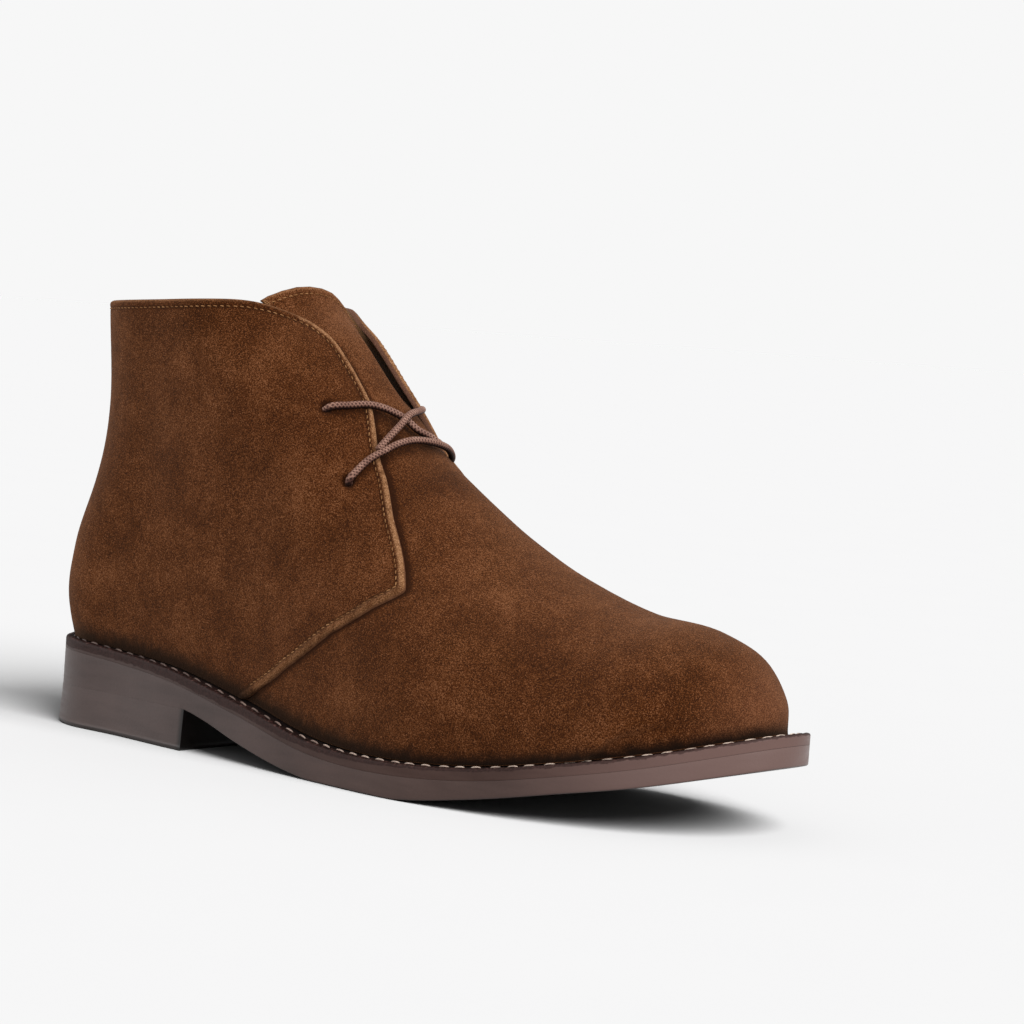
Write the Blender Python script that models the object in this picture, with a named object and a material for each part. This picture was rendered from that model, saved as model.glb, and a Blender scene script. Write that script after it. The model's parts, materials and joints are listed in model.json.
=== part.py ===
"""Chukka boot for the right foot.

+X runs from the heel to the toe, -Y is the outer side, +Z is up. The origin is
under the middle of the boot's box, on the ground. Sizes are in millimetres in
the tables and become metres where the meshes are made.
"""
import bpy
import numpy as np

MM = 0.001

# ---- driving sizes -------------------------------------------------------
LENGTH = 308.0          # sole, back of the heel to the tip of the toe
WALL = 2.0              # suede and lining together
GAP = 0.3               # clearance between neighbouring pieces
WELT_T = 4.0            # thickness of the welt
WELT_LIP = 4.5          # how far the welt reaches in under the upper
INSOLE_T = 3.0          # insole above the welt
TONGUE_T = 2.0
HEEL_LENGTH = 84.0      # back of the heel to its breast
HEEL_FLARE = 0.8        # the heel is a little wider at the ground
HEEL_ROUND = 30.8       # radius of the seat in plan
TOE_ROUND = 78.0        # length over which the toe closes in plan
TOE_POWER = 1.85
SECTION_POWER = 2.2     # roundness of the upper's sections
THROAT_Q = 0.70         # station on the front profile where the throat opens
LACE_R = 1.25
LACE_LIFT = 1.75        # lace centre above the leather

SIDE_STEPS = 30         # columns from the back to the ridge, on each side

# sole: distance from the back, outer half width, inner half width, top face height
SOLE = [
    (0, 30.0, 30.0, 31.2),
    (20, 31.0, 31.5, 31.0),
    (45, 32.6, 33.0, 29.5),
    (72, 37.0, 32.0, 27.4),
    (110, 42.6, 28.0, 20.6),
    (150, 49.2, 34.0, 12.7),
    (190, 54.3, 44.0, 11.8),
    (220, 52.6, 47.5, 14.3),
    (250, 49.6, 48.0, 19.6),
    (275, 49.0, 48.0, 25.0),
    (LENGTH, 50.0, 48.0, 34.3),
]
# underside in front of the heel: distance from the back, height of the outsole's lower face
SEAT_Z = 14.4
UNDERSIDE = [
    (HEEL_LENGTH, SEAT_Z), (97, 11.2), (110, 7.4), (150, 0.0), (190, 0.0),
    (220, 4.2), (250, 10.0), (275, 15.0), (LENGTH, 23.6),
]
# welt margin outside the upper: distance from the back, width
MARGIN = [(0, 3.6), (72, 5.5), (150, 5.5), (225, 5.5), (LENGTH, 8.4)]
# back of the upper: height, distance from the back of the sole
BACK = [
    (31.2, 3.6), (37, 2.2), (48, 0.8), (64, 2.8), (88, 8.6), (116, 12.6), (153, 12.5),
]
# front of the upper from the toe to the collar, and one row above it:
# x, height, rounding radius across the ridge
FRONT = [
    (299.6, 32.2, 71.0),
    (298.6, 41.0, 69.0),
    (293.6, 49.0, 60.0),
    (286.6, 56.0, 55.0),
    (272.0, 62.0, 51.0),
    (244.0, 65.2, 48.0),
    (213.0, 74.6, 47.0),
    (180.5, 91.0, 46.0),
    (151.5, 111.2, 43.0),
    (131.5, 132.0, 40.0),
    (117.0, 147.5, 38.0),
    (104.0, 158.5, 36.0),
    (97.0, 172.0, 35.0),
]
# ridge of the instep leans to the inner side: distance from the back, shift
RIDGE = [(0, 0.0), (60, 0.0), (110, 2.0), (160, 4.0), (215, 4.0), (260, 2.0), (LENGTH, 0.0)]
# half widths of the upper: one row for each height above the welt,
# one column for each distance from the back
STATIONS = (0, 45, 72, 110, 150, 190, 225, LENGTH)
LEVELS = (0, 14, 35, 70, 121)
OUTER = [
    (26.5, 28.0, 31.0, 36.5, 43.5, 49.0, 46.5, 43.0),
    (29.2, 30.6, 33.5, 38.2, 45.5, 50.8, 48.0, 43.5),
    (30.0, 32.0, 33.8, 38.0, 44.0, 48.5, 47.5, 43.0),
    (25.0, 29.0, 33.7, 36.0, 38.0, 40.0, 40.0, 40.0),
    (32.2, 34.0, 36.5, 36.0, 36.0, 36.0, 36.0, 36.0),
]
INNER = [
    (26.5, 28.3, 26.5, 22.5, 28.5, 38.5, 42.0, 40.5),
    (29.0, 31.3, 31.0, 28.5, 33.5, 41.5, 44.0, 41.5),
    (29.0, 32.0, 33.5, 36.0, 39.5, 43.5, 44.5, 42.0),
    (25.0, 29.0, 33.0, 35.0, 37.0, 38.0, 38.0, 38.0),
    (32.0, 34.0, 36.0, 36.0, 36.0, 36.0, 36.0, 36.0),
]
# rounding radius of the back, for each of the levels
BACK_ROUND = (27.3, 28.0, 29.7, 32.5, 36.4)
# throat: station on the front profile, half width of the gap between the quarters
THROAT = [
    (THROAT_Q, 0.0), (0.712, 8.5), (0.73, 14.0), (0.755, 17.0),
    (0.805, 13.6), (0.84, 12.7), (0.88, 12.3), (0.928, 13.0), (0.962, 16.2),
    (0.985, 21.0), (1.0, 30.0),
]
# tongue: station on the front profile, half width
TONGUE = [(0.655, 17.0), (0.67, 20.0), (0.72, 23.0), (0.80, 24.0), (0.90, 26.0), (1.0, 31.0)]
# lace: each strand by station, distance from the ridge (outer side below zero),
# height of its centre above the leather
STRANDS = {
    "under": [
        (0.7875, -26.2, 1.75), (0.7925, -21.5, 1.75), (0.795, -15.0, 1.75), (0.785, -8.5, 1.75),
        (0.7725, -5.0, 1.75), (0.755, -2.5, 1.75), (0.740, 1.0, 1.9), (0.7255, 4.0, 2.0),
    ],
    "over": [
        (0.790, 26.2, 1.75), (0.7925, 20.0, 1.75), (0.792, 11.0, 1.8), (0.785, 2.8, 2.6),
        (0.7735, -4.5, 3.5), (0.755, -10.5, 3.0), (0.735, -15.8, 2.2), (0.7075, -21.4, 1.9),
    ],
    "bar": [
        (0.637, -31.5, 1.75), (0.657, -29.3, 1.75), (0.685, -25.2, 1.75), (0.705, -20.3, 1.85),
        (0.7225, -14.2, 1.95), (0.7315, -8.0, 2.0), (0.7295, 0.0, 2.0), (0.7195, 8.0, 1.95),
        (0.703, 16.0, 1.85), (0.678, 24.5, 1.75), (0.655, 31.0, 1.75),
    ],
}
TONGUE_RISE = 5.0       # rounded top of the tongue above the collar


# ---- curves through the tables --------------------------------------------
def through(xs, ys, x):
    """Smooth curve through the rows of a table."""
    xs = np.asarray(xs, float)
    ys = np.asarray(ys, float)
    x = np.clip(np.asarray(x, float), xs[0], xs[-1])
    step = np.diff(xs)
    slope = np.diff(ys) / step
    tan = np.empty_like(ys)
    tan[0], tan[-1] = slope[0], slope[-1]
    w = step[:-1] / (step[:-1] + step[1:])
    tan[1:-1] = slope[:-1] * (1 - w) + slope[1:] * w
    i = np.clip(np.searchsorted(xs, x, side="right") - 1, 0, len(xs) - 2)
    h = step[i]
    t = (x - xs[i]) / h
    return ((2 * t**3 - 3 * t**2 + 1) * ys[i] + (t**3 - 2 * t**2 + t) * h * tan[i]
            + (3 * t**2 - 2 * t**3) * ys[i + 1] + (t**3 - t**2) * h * tan[i + 1])


def column(table, k):
    return [row[k] for row in table]


def sole_top(x):
    return through(column(SOLE, 0), column(SOLE, 3), x)


def sole_bottom(x):
    return np.where(x <= HEEL_LENGTH, SEAT_Z,
                    np.maximum(0.0, through(column(UNDERSIDE, 0), column(UNDERSIDE, 1), x)))


def margin(x):
    return through(column(MARGIN, 0), column(MARGIN, 1), x)


def ridge_shift(x):
    return through(column(RIDGE, 0), column(RIDGE, 1), x)


# ---- plan of the sole ------------------------------------------------------
def plan_loop(welt, more=0.0, steps=SIDE_STEPS, x_end=None):
    """Closed outline, set in from the sole's edge by welt times the margin plus more.

    Runs from the back of the heel along the outer side to the toe and back along
    the inner side. With x_end it stops there in a straight edge.
    """
    at_back = welt * MARGIN[0][1] + more
    at_toe = welt * MARGIN[-1][1] + more
    t = np.linspace(0.0, 1.0, steps + 1)
    if x_end is None:
        x = at_back + (LENGTH - at_toe - at_back) * (1 - np.cos(np.pi * t)) / 2
        x[np.abs(x - HEEL_LENGTH).argmin()] = HEEL_LENGTH
    else:
        x = at_back + (x_end - at_back) * (1 - np.cos(np.pi * t / 2))
    u = np.clip((x - at_back) / (HEEL_ROUND - at_back), 0, 1)
    v = np.clip((LENGTH - at_toe - x) / (TOE_ROUND - at_toe), 0, 1)
    ends = np.sqrt(1 - (1 - u) ** SECTION_POWER) * np.sqrt(1 - (1 - v) ** TOE_POWER)
    inset = welt * margin(x) + more
    outer = -(through(column(SOLE, 0), column(SOLE, 1), x) - inset) * ends
    inner = (through(column(SOLE, 0), column(SOLE, 2), x) - inset) * ends
    if x_end is None:
        xs = np.r_[x, x[-2:0:-1]]
        ys = np.r_[outer, inner[-2:0:-1]]
    else:
        xs = np.r_[x, x[:0:-1]]
        ys = np.r_[outer, inner[:0:-1]]
    return xs, ys


def lift(loop, height):
    x, y = loop
    return np.stack([x, y, height(x) if callable(height) else np.full_like(x, height)], 1)


# ---- the last: outer surface of the upper ----------------------------------
FRONT_X, FRONT_Z, FRONT_R = (column(FRONT, k) for k in range(3))
_run = np.r_[0.0, np.cumsum(np.hypot(np.diff(FRONT_X), np.diff(FRONT_Z)))]
FRONT_S = _run / _run[-2]
FINE = np.linspace(0.0, FRONT_S[-1], 640)
FINE_X = through(FRONT_S, FRONT_X, FINE)
FINE_Z = through(FRONT_S, FRONT_Z, FINE)
FINE_R = through(FRONT_S, FRONT_R, FINE)


def front_distance(x, z):
    """Distance to the front profile, and the rounding radius there."""
    shape = x.shape
    x = x.ravel()
    z = z.ravel()
    d2 = (x[:, None] - FINE_X) ** 2 + (z[:, None] - FINE_Z) ** 2
    i = np.clip(d2.argmin(1), 1, len(FINE) - 2)
    best = np.full(len(x), np.inf)
    radius = np.zeros(len(x))
    for k in (-1, 0):
        j = i + k
        ax, az = FINE_X[j], FINE_Z[j]
        bx, bz = FINE_X[j + 1] - ax, FINE_Z[j + 1] - az
        t = np.clip(((x - ax) * bx + (z - az) * bz) / (bx * bx + bz * bz), 0, 1)
        d = np.hypot(x - ax - t * bx, z - az - t * bz)
        near = d < best
        best[near] = d[near]
        radius[near] = (FINE_R[j] + t * (FINE_R[j + 1] - FINE_R[j]))[near]
    return best.reshape(shape), radius.reshape(shape)


def back_x(z):
    return through(column(BACK, 0), column(BACK, 1), z)


def upper_y(x, z, side):
    """Sideways position of the upper's outer face. side is -1 outside, +1 inside."""
    x = np.asarray(x, float)
    z = np.asarray(z, float)
    level = np.clip(z - sole_top(x), LEVELS[0], LEVELS[-1])
    rows = OUTER if side < 0 else INNER
    widths = np.stack([through(STATIONS, row, x) for row in rows])
    step = np.diff(LEVELS)[:, None]
    flat = widths.reshape(len(LEVELS), -1)
    slope = np.diff(flat, axis=0) / step
    tan = np.empty_like(flat)
    tan[0], tan[-1] = slope[0], slope[-1]
    w = step[:-1] / (step[:-1] + step[1:])
    tan[1:-1] = slope[:-1] * (1 - w) + slope[1:] * w
    lv = level.ravel()
    i = np.clip(np.searchsorted(LEVELS, lv, side="right") - 1, 0, len(LEVELS) - 2)
    n = np.arange(len(lv))
    h = np.diff(LEVELS)[i]
    t = (lv - np.asarray(LEVELS)[i]) / h
    width = ((2 * t**3 - 3 * t**2 + 1) * flat[i, n] + (t**3 - 2 * t**2 + t) * h * tan[i, n]
             + (3 * t**2 - 2 * t**3) * flat[i + 1, n] + (t**3 - t**2) * h * tan[i + 1, n])
    width = width.reshape(x.shape)
    d, radius = front_distance(x, z)
    u = np.clip(d / radius, 0, 1)
    v = np.clip((x - back_x(z)) / through(LEVELS, BACK_ROUND, level), 0, 1)
    ends = (np.sqrt(np.clip(1 - (1 - u) ** SECTION_POWER, 0, 1))
            * np.sqrt(np.clip(1 - (1 - v) ** SECTION_POWER, 0, 1)))
    return ridge_shift(x) * (1 - ends) + side * width * ends


def ring_xz(q, h):
    """Side view of ring q at h, from 0 at the back to 1 on the front profile."""
    z0 = BACK[0][0] + (BACK[-1][0] - BACK[0][0]) * q**1.25
    x0 = back_x(z0)
    x1 = np.interp(q, FINE, FINE_X)
    z1 = np.interp(q, FINE, FINE_Z)
    x = x0 + (x1 - x0) * h
    g = h**1.35
    z = z0 + (z1 - z0) * g
    low, high = sole_top(x0), sole_top(x1)
    return x, z + (1 - q) ** 2 * (sole_top(x) - (low + (high - low) * g))


def half_ring(q, side, gap, steps=SIDE_STEPS):
    """Points on one side of ring q, from the back to half gap from the ridge."""
    fine = (1 - np.cos(np.pi * np.linspace(0, 1, 241))) / 2
    x, z = ring_xz(q, fine)
    off = np.abs(upper_y(x, z, side) - ridge_shift(x))
    if gap <= 0:
        h1 = 1.0
    else:
        k = np.arange(120, 241)
        h1 = float(np.interp(-gap, -off[k], fine[k]))
    t = np.linspace(0, 1, steps + 1)
    h = (1 - np.cos(np.pi * t)) / 2 * h1     # the columns gather at the back and at the front
    x, z = ring_xz(q, h)
    return np.stack([x, upper_y(x, z, side), z], 1)


def outward(x, z, side, e=0.4):
    """Outward normal of the upper at a point of its side view."""
    dydx = (upper_y(x + e, z, side) - upper_y(x - e, z, side)) / (2 * e)
    dydz = (upper_y(x, z + e, side) - upper_y(x, z - e, side)) / (2 * e)
    n = np.stack([-dydx, np.ones_like(dydx), -dydz], -1) * side
    return n / np.linalg.norm(n, axis=-1, keepdims=True)


# ---- meshes -----------------------------------------------------------------
for old in list(bpy.data.objects):
    bpy.data.objects.remove(old)

_edge = plan_loop(0.0, steps=200)
X_MID = LENGTH / 2 + (-HEEL_FLARE) / 2
Y_MID = (_edge[1].min() + _edge[1].max()) / 2


def make_object(name, points, faces, colour, rough):
    points = (np.asarray(points, float) - (X_MID, Y_MID, 0.0)) * MM
    mesh = bpy.data.meshes.new(name)
    mesh.from_pydata([tuple(p) for p in points], [], [tuple(int(k) for k in f) for f in faces])
    mesh.validate()
    mesh.update()
    ob = bpy.data.objects.new(name, mesh)
    bpy.context.scene.collection.objects.link(ob)
    mat = bpy.data.materials.new(name)
    mat.use_nodes = True
    shader = mat.node_tree.nodes["Principled BSDF"]
    shader.inputs["Base Color"].default_value = (*colour, 1.0)
    shader.inputs["Roughness"].default_value = rough
    shader.inputs["Metallic"].default_value = 0.0
    mesh.materials.append(mat)
    mesh.shade_smooth()
    mesh.set_sharp_from_angle(angle=0.6)
    return ob


def stack_faces(loops, count, straight_end):
    """Faces of a solid lofted through loops from the lowest to the highest."""
    faces = []
    for a in range(loops - 1):
        for i in range(count):
            j = (i + 1) % count
            faces.append((a * count + i, a * count + j, (a + 1) * count + j, (a + 1) * count + i))
    half = count // 2
    top = (loops - 1) * count
    rungs = half if not straight_end else (count - 1) // 2
    for i in range(rungs):
        a, b = i, i + 1
        c = (count - i - 1) % count
        d = (count - i) % count
        quad = [a, b, c, d]
        flat = list(dict.fromkeys(quad))
        if len(flat) > 2:
            faces.append(tuple(reversed(flat)))
            faces.append(tuple(top + k for k in flat))
    return faces


def stack(name, loops, colour, rough, straight_end=False):
    count = len(loops[0])
    return make_object(name, np.concatenate(loops), stack_faces(len(loops), count, straight_end),
                       colour, rough)


def welt_bottom(x):
    return sole_top(x) - WELT_T


def outsole_top(x):
    return sole_top(x) - WELT_T - GAP


# outsole: one slab from heel seat to toe
edge = plan_loop(0.0)
stack("outsole", [lift(plan_loop(0.0, 0.6), sole_bottom), lift(edge, lambda x: sole_bottom(x) + 0.6),
                  lift(edge, outsole_top)], (0.075, 0.05, 0.043), 0.45)

# heel: a block with a straight breast, a little wider at the ground
stack("heel", [
    lift(plan_loop(0.0, -HEEL_FLARE + 0.6, 16, HEEL_LENGTH), 0.0),
    lift(plan_loop(0.0, -HEEL_FLARE, 16, HEEL_LENGTH), 0.6),
    lift(plan_loop(0.0, 0.0, 16, HEEL_LENGTH), lambda x: sole_bottom(x) - GAP),
], (0.07, 0.048, 0.042), 0.42, straight_end=True)

# welt: a flat ring round the foot of the upper
ring_out, ring_in = plan_loop(0.0), plan_loop(1.0, WELT_LIP)
n = len(ring_out[0])
rings = [lift(ring_out, welt_bottom), lift(ring_out, lambda x: sole_top(x) - 0.5),
         lift(plan_loop(0.0, 0.5), sole_top), lift(ring_in, sole_top), lift(ring_in, welt_bottom)]
welt_faces = []
for a in range(len(rings)):
    b = (a + 1) % len(rings)
    for i in range(n):
        j = (i + 1) % n
        welt_faces.append((a * n + i, a * n + j, b * n + j, b * n + i))
make_object("welt", np.concatenate(rings), welt_faces, (0.08, 0.05, 0.043), 0.5)

# insole: fills the welt's ring and spreads over its inner lip
core, spread = plan_loop(1.0, WELT_LIP + GAP), plan_loop(1.0, WALL + 2 * GAP + 0.5)
stack("insole", [lift(core, lambda x: outsole_top(x) + GAP), lift(core, lambda x: sole_top(x) + GAP),
                 lift(spread, lambda x: sole_top(x) + GAP), lift(spread, lambda x: sole_top(x) + INSOLE_T)],
      (0.36, 0.22, 0.12), 0.7)

# upper: vamp and quarters in one hollow wall
RINGS_LOW = (0.0, 0.012, 0.03, 0.06, 0.10, 0.15, 0.20, 0.26, 0.32, 0.39, 0.46, 0.53, 0.60, 0.66)
rows = [(q, 0.0) for q in RINGS_LOW] + list(THROAT)
outer_rows, inner_rows = [], []
for q, gap in rows:
    parts = []
    for side in (-1, 1):
        gap_q = float(np.interp(q, column(THROAT, 0), column(THROAT, 1))) if q > THROAT_Q else 0.0
        parts.append(half_ring(q, side, gap_q))
    lat, med = parts
    outer_rows.append(np.concatenate([lat, med[::-1][:-1]]))
outer_rows = np.array(outer_rows)
COLS = outer_rows.shape[1]
outer_rows[:, :, 2] += GAP


# the ridge point is one vertex on closed rings and two on open rings
first_open = [k for k, (q, g) in enumerate(rows) if q > THROAT_Q][0]
N = SIDE_STEPS
points, index = [], np.zeros((len(rows), 2 * N + 1), int)
for a in range(len(rows)):
    for i in range(2 * N + 1):
        if i == N + 1 and a < first_open:
            index[a, i] = index[a, N]
            continue
        index[a, i] = len(points)
        points.append(outer_rows[a, i])
points = np.array(points)


def sheet_faces(index):
    faces = []
    m = index.shape[1]
    for a in range(index.shape[0] - 1):
        for i in range(m):
            j = (i + 1) % m
            if i == N and (a >= first_open or a == first_open - 1):
                continue
            if i == N and a < first_open - 1:
                continue
            f = [index[a, i], index[a, j], index[a + 1, j], index[a + 1, i]]
            f = list(dict.fromkeys(int(k) for k in f))
            if len(f) > 2:
                faces.append(tuple(f))
    return faces


faces_out = sheet_faces(index)
acc = np.zeros_like(points)
for f in faces_out:
    p = points[list(f)]
    nrm = np.zeros(3)
    for k in range(1, len(f) - 1):
        nrm += np.cross(p[k] - p[0], p[k + 1] - p[0])
    for k in f:
        acc[k] += nrm
acc /= np.linalg.norm(acc, axis=1, keepdims=True)
inside = acc.copy()
for i in range(2 * N + 1):            # the foot of the wall stays level on the welt
    k = index[0, i]
    inside[k, 2] = 0.0
    inside[k] /= np.linalg.norm(inside[k])
inner_points = points - WALL * inside
shift = len(points)
faces = list(faces_out) + [tuple(k + shift for k in reversed(f)) for f in faces_out]
# rims: the foot, and the collar with the throat
m = 2 * N + 1
foot = list(dict.fromkeys(int(index[0, i]) for i in range(m)))
for k in range(len(foot)):
    a, b = foot[k], foot[(k + 1) % len(foot)]
    faces.append((b, a, a + shift, b + shift))
top = [int(index[-1, i]) for i in list(range(N + 1, m)) + list(range(0, N + 1))]
down = [int(index[a, N]) for a in range(len(rows) - 2, first_open - 1, -1)]
base = [int(index[first_open - 1, N])]
up = [int(index[a, N + 1]) for a in range(first_open, len(rows) - 1)]
rim = top + down + base + up
for k in range(len(rim)):
    a, b = rim[k], rim[(k + 1) % len(rim)]
    faces.append((a, b, b + shift, a + shift))
make_object("upper", np.concatenate([points, inner_points]), faces, (0.16, 0.072, 0.03), 0.95)


# tongue: a curved plate inside the throat
T_ROWS, T_COLS = 15, 14
q_list = np.linspace(TONGUE[0][0], 1.0, T_ROWS)
outer_face, normals = [], []
for q in q_list:
    half = float(through(column(TONGUE, 0), column(TONGUE, 1), q))
    row, nr = [], []
    for v in np.linspace(-1, 1, T_COLS + 1):
        side = -1 if v <= 0 else 1
        pts = half_ring(q, side, max(abs(v) * half, 0.0), 2)
        p = pts[-1]
        if abs(v) < 1e-6:
            t = np.array([np.interp(q + 0.01, FINE, FINE_X) - np.interp(q - 0.01, FINE, FINE_X), 0,
                          np.interp(q + 0.01, FINE, FINE_Z) - np.interp(q - 0.01, FINE, FINE_Z)])
            nrm = np.array([t[2], 0, -t[0]])
            nrm /= np.linalg.norm(nrm)
        else:
            nrm = outward(np.array([p[0]]), np.array([p[2]]), side)[0]
        row.append(p)
        nr.append(nrm)
    outer_face.append(row)
    normals.append(nr)
outer_face = np.array(outer_face)
normals = np.array(normals)
# the rounded top stands above the collar
v = np.linspace(-1, 1, T_COLS + 1)
along = outer_face[-1] - outer_face[-2]
along /= np.linalg.norm(along, axis=1, keepdims=True)
for k, share in ((-1, 1.0), (-2, 0.55), (-3, 0.2)):
    outer_face[k] += (along * (TONGUE_RISE * share * np.sqrt(np.clip(1 - v**2, 0, 1)))[:, None])
set_in = WALL + GAP + 0.9
face_a = outer_face - normals * set_in
face_b = outer_face - normals * (set_in + TONGUE_T)
R, C = T_ROWS, T_COLS + 1
pts = np.concatenate([face_a.reshape(-1, 3), face_b.reshape(-1, 3)])
faces = []
for a in range(R - 1):
    for i in range(C - 1):
        f = (a * C + i, a * C + i + 1, (a + 1) * C + i + 1, (a + 1) * C + i)
        faces.append(f)
        faces.append(tuple(k + R * C for k in reversed(f)))
border = ([k for k in range(C)] + [a * C + C - 1 for a in range(1, R)]
          + [(R - 1) * C + k for k in range(C - 2, -1, -1)] + [a * C for a in range(R - 2, 0, -1)])
for k in range(len(border)):
    a, b = border[k], border[(k + 1) % len(border)]
    faces.append((b, a, a + R * C, b + R * C))
make_object("tongue", pts, faces, (0.15, 0.068, 0.03), 0.95)


# lace: a crossing and a bar over the throat, joined into one solid
def on_upper(q, off, above):
    """Point above the upper at station q, off from the ridge."""
    side = -1 if off < 0 else 1
    p = half_ring(q, side, max(abs(off), 1.5), 2)[-1]
    nrm = outward(np.array([p[0]]), np.array([p[2]]), side)[0]
    if abs(off) < 1.5:                    # between the two sides, straight across the ridge
        other = half_ring(q, -side, 1.5, 2)[-1]
        back = outward(np.array([other[0]]), np.array([other[2]]), -side)[0]
        t = 0.5 + abs(off) / 3.0
        p = p * t + other * (1 - t)
        nrm = nrm * t + back * (1 - t)
        nrm /= np.linalg.norm(nrm)
    return p + nrm * (above) + np.array([0, 0, GAP])


def smooth_path(points, spacing=2.4):
    points = np.asarray(points, float)
    s = np.r_[0.0, np.cumsum(np.linalg.norm(np.diff(points, axis=0), axis=1))]
    t = np.linspace(0.0, s[-1], int(round(s[-1] / spacing)) + 1)
    return np.stack([through(s, points[:, k], t) for k in range(3)], 1)


def tube(name, path, radius, sides=8):
    tangent = np.gradient(path, axis=0)
    tangent /= np.linalg.norm(tangent, axis=1, keepdims=True)
    ref = np.array([0.0, 0.0, 1.0])
    pts = []
    for p, t in zip(path, tangent):
        a = np.cross(t, ref)
        a /= np.linalg.norm(a)
        b = np.cross(t, a)
        ref = np.cross(a, t) if abs(a[2]) < 0.9 else ref
        for k in range(sides):
            w = 2 * np.pi * k / sides
            pts.append(p + radius * (np.cos(w) * a + np.sin(w) * b))
    faces = []
    for i in range(len(path) - 1):
        for k in range(sides):
            j = (k + 1) % sides
            faces.append((i * sides + k, i * sides + j, (i + 1) * sides + j, (i + 1) * sides + k))
    last = (len(path) - 1) * sides
    faces.append(tuple(reversed(range(sides))))
    faces.append(tuple(last + k for k in range(sides)))
    return make_object(name, pts, faces, (0.11, 0.06, 0.045), 0.6)


lace = tube("lace", smooth_path([on_upper(*row) for row in STRANDS["bar"]]), LACE_R)
for key in ("under", "over"):
    strand = tube("strand_" + key, smooth_path([on_upper(*row) for row in STRANDS[key]]), LACE_R)
    strand.hide_render = True
    strand.display_type = "WIRE"
    join = lace.modifiers.new(key, "BOOLEAN")
    join.operation = "UNION"
    join.solver = "EXACT"
    join.object = strand
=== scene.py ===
"""Looks of the chukka boot, right foot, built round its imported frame.

Lengths are in millimetres in the boot's own working frame: x from the back of the
sole towards the toe, y to the inner side, z up from the ground. They are moved to
the middle of the box and turned into metres where meshes are made.
"""
import json
import math

import bpy
import numpy as np
from mathutils import Matrix, Vector
from mathutils.bvhtree import BVHTree

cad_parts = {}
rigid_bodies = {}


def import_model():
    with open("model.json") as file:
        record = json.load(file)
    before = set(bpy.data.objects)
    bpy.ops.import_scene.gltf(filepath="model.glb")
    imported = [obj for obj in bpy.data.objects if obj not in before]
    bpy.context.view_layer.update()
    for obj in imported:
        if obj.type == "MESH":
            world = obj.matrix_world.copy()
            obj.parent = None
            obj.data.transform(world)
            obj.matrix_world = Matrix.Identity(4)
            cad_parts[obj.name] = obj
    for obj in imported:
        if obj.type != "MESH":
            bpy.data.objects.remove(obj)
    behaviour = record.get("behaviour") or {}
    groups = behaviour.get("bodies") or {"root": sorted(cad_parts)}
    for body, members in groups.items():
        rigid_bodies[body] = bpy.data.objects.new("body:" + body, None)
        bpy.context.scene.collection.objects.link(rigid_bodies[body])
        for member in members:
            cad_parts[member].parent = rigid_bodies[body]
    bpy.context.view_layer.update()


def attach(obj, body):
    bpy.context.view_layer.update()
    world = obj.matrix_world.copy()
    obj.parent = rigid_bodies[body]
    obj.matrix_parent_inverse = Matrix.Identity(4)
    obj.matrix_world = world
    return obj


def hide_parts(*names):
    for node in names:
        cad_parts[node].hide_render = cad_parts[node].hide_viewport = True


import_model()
MM = 0.001

# ---- driving sizes -------------------------------------------------------
LENGTH = 308.0          # sole, back of the heel to the tip of the toe
WALL = 2.0              # suede and lining together
GAP = 0.3               # clearance between neighbouring pieces
WELT_T = 4.0            # thickness of the welt
WELT_LIP = 4.5          # how far the welt reaches in under the upper
INSOLE_T = 3.0          # insole above the welt
TONGUE_T = 2.0
HEEL_LENGTH = 84.0      # back of the heel to its breast
HEEL_FLARE = 0.8        # the heel is a little wider at the ground
HEEL_ROUND = 30.8       # radius of the seat in plan
TOE_ROUND = 78.0        # length over which the toe closes in plan
TOE_POWER = 1.85
SECTION_POWER = 2.2     # roundness of the upper's sections
THROAT_Q = 0.70         # station on the front profile where the throat opens
LACE_R = 1.25
LACE_LIFT = 1.75        # lace centre above the leather

SIDE_STEPS = 30         # columns from the back to the ridge, on each side

# sole: distance from the back, outer half width, inner half width, top face height
SOLE = [
    (0, 30.0, 30.0, 31.2),
    (20, 31.0, 31.5, 31.0),
    (45, 32.6, 33.0, 29.5),
    (72, 37.0, 32.0, 27.4),
    (110, 42.6, 28.0, 20.6),
    (150, 49.2, 34.0, 12.7),
    (190, 54.3, 44.0, 11.8),
    (220, 52.6, 47.5, 14.3),
    (250, 49.6, 48.0, 19.6),
    (275, 49.0, 48.0, 25.0),
    (LENGTH, 50.0, 48.0, 34.3),
]
# underside in front of the heel: distance from the back, height of the outsole's lower face
SEAT_Z = 14.4
UNDERSIDE = [
    (HEEL_LENGTH, SEAT_Z), (97, 11.2), (110, 7.4), (150, 0.0), (190, 0.0),
    (220, 4.2), (250, 10.0), (275, 15.0), (LENGTH, 23.6),
]
# welt margin outside the upper: distance from the back, width
MARGIN = [(0, 3.6), (72, 5.5), (150, 5.5), (225, 5.5), (LENGTH, 8.4)]
# back of the upper: height, distance from the back of the sole
BACK = [
    (31.2, 3.6), (37, 2.2), (48, 0.8), (64, 2.8), (88, 8.6), (116, 12.6), (153, 12.5),
]
# front of the upper from the toe to the collar, and one row above it:
# x, height, rounding radius across the ridge
FRONT = [
    (299.6, 32.2, 71.0),
    (298.6, 41.0, 69.0),
    (293.6, 49.0, 60.0),
    (286.6, 56.0, 55.0),
    (272.0, 62.0, 51.0),
    (244.0, 65.2, 48.0),
    (213.0, 74.6, 47.0),
    (180.5, 91.0, 46.0),
    (151.5, 111.2, 43.0),
    (131.5, 132.0, 40.0),
    (117.0, 147.5, 38.0),
    (104.0, 158.5, 36.0),
    (97.0, 172.0, 35.0),
]
# ridge of the instep leans to the inner side: distance from the back, shift
RIDGE = [(0, 0.0), (60, 0.0), (110, 2.0), (160, 4.0), (215, 4.0), (260, 2.0), (LENGTH, 0.0)]
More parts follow.
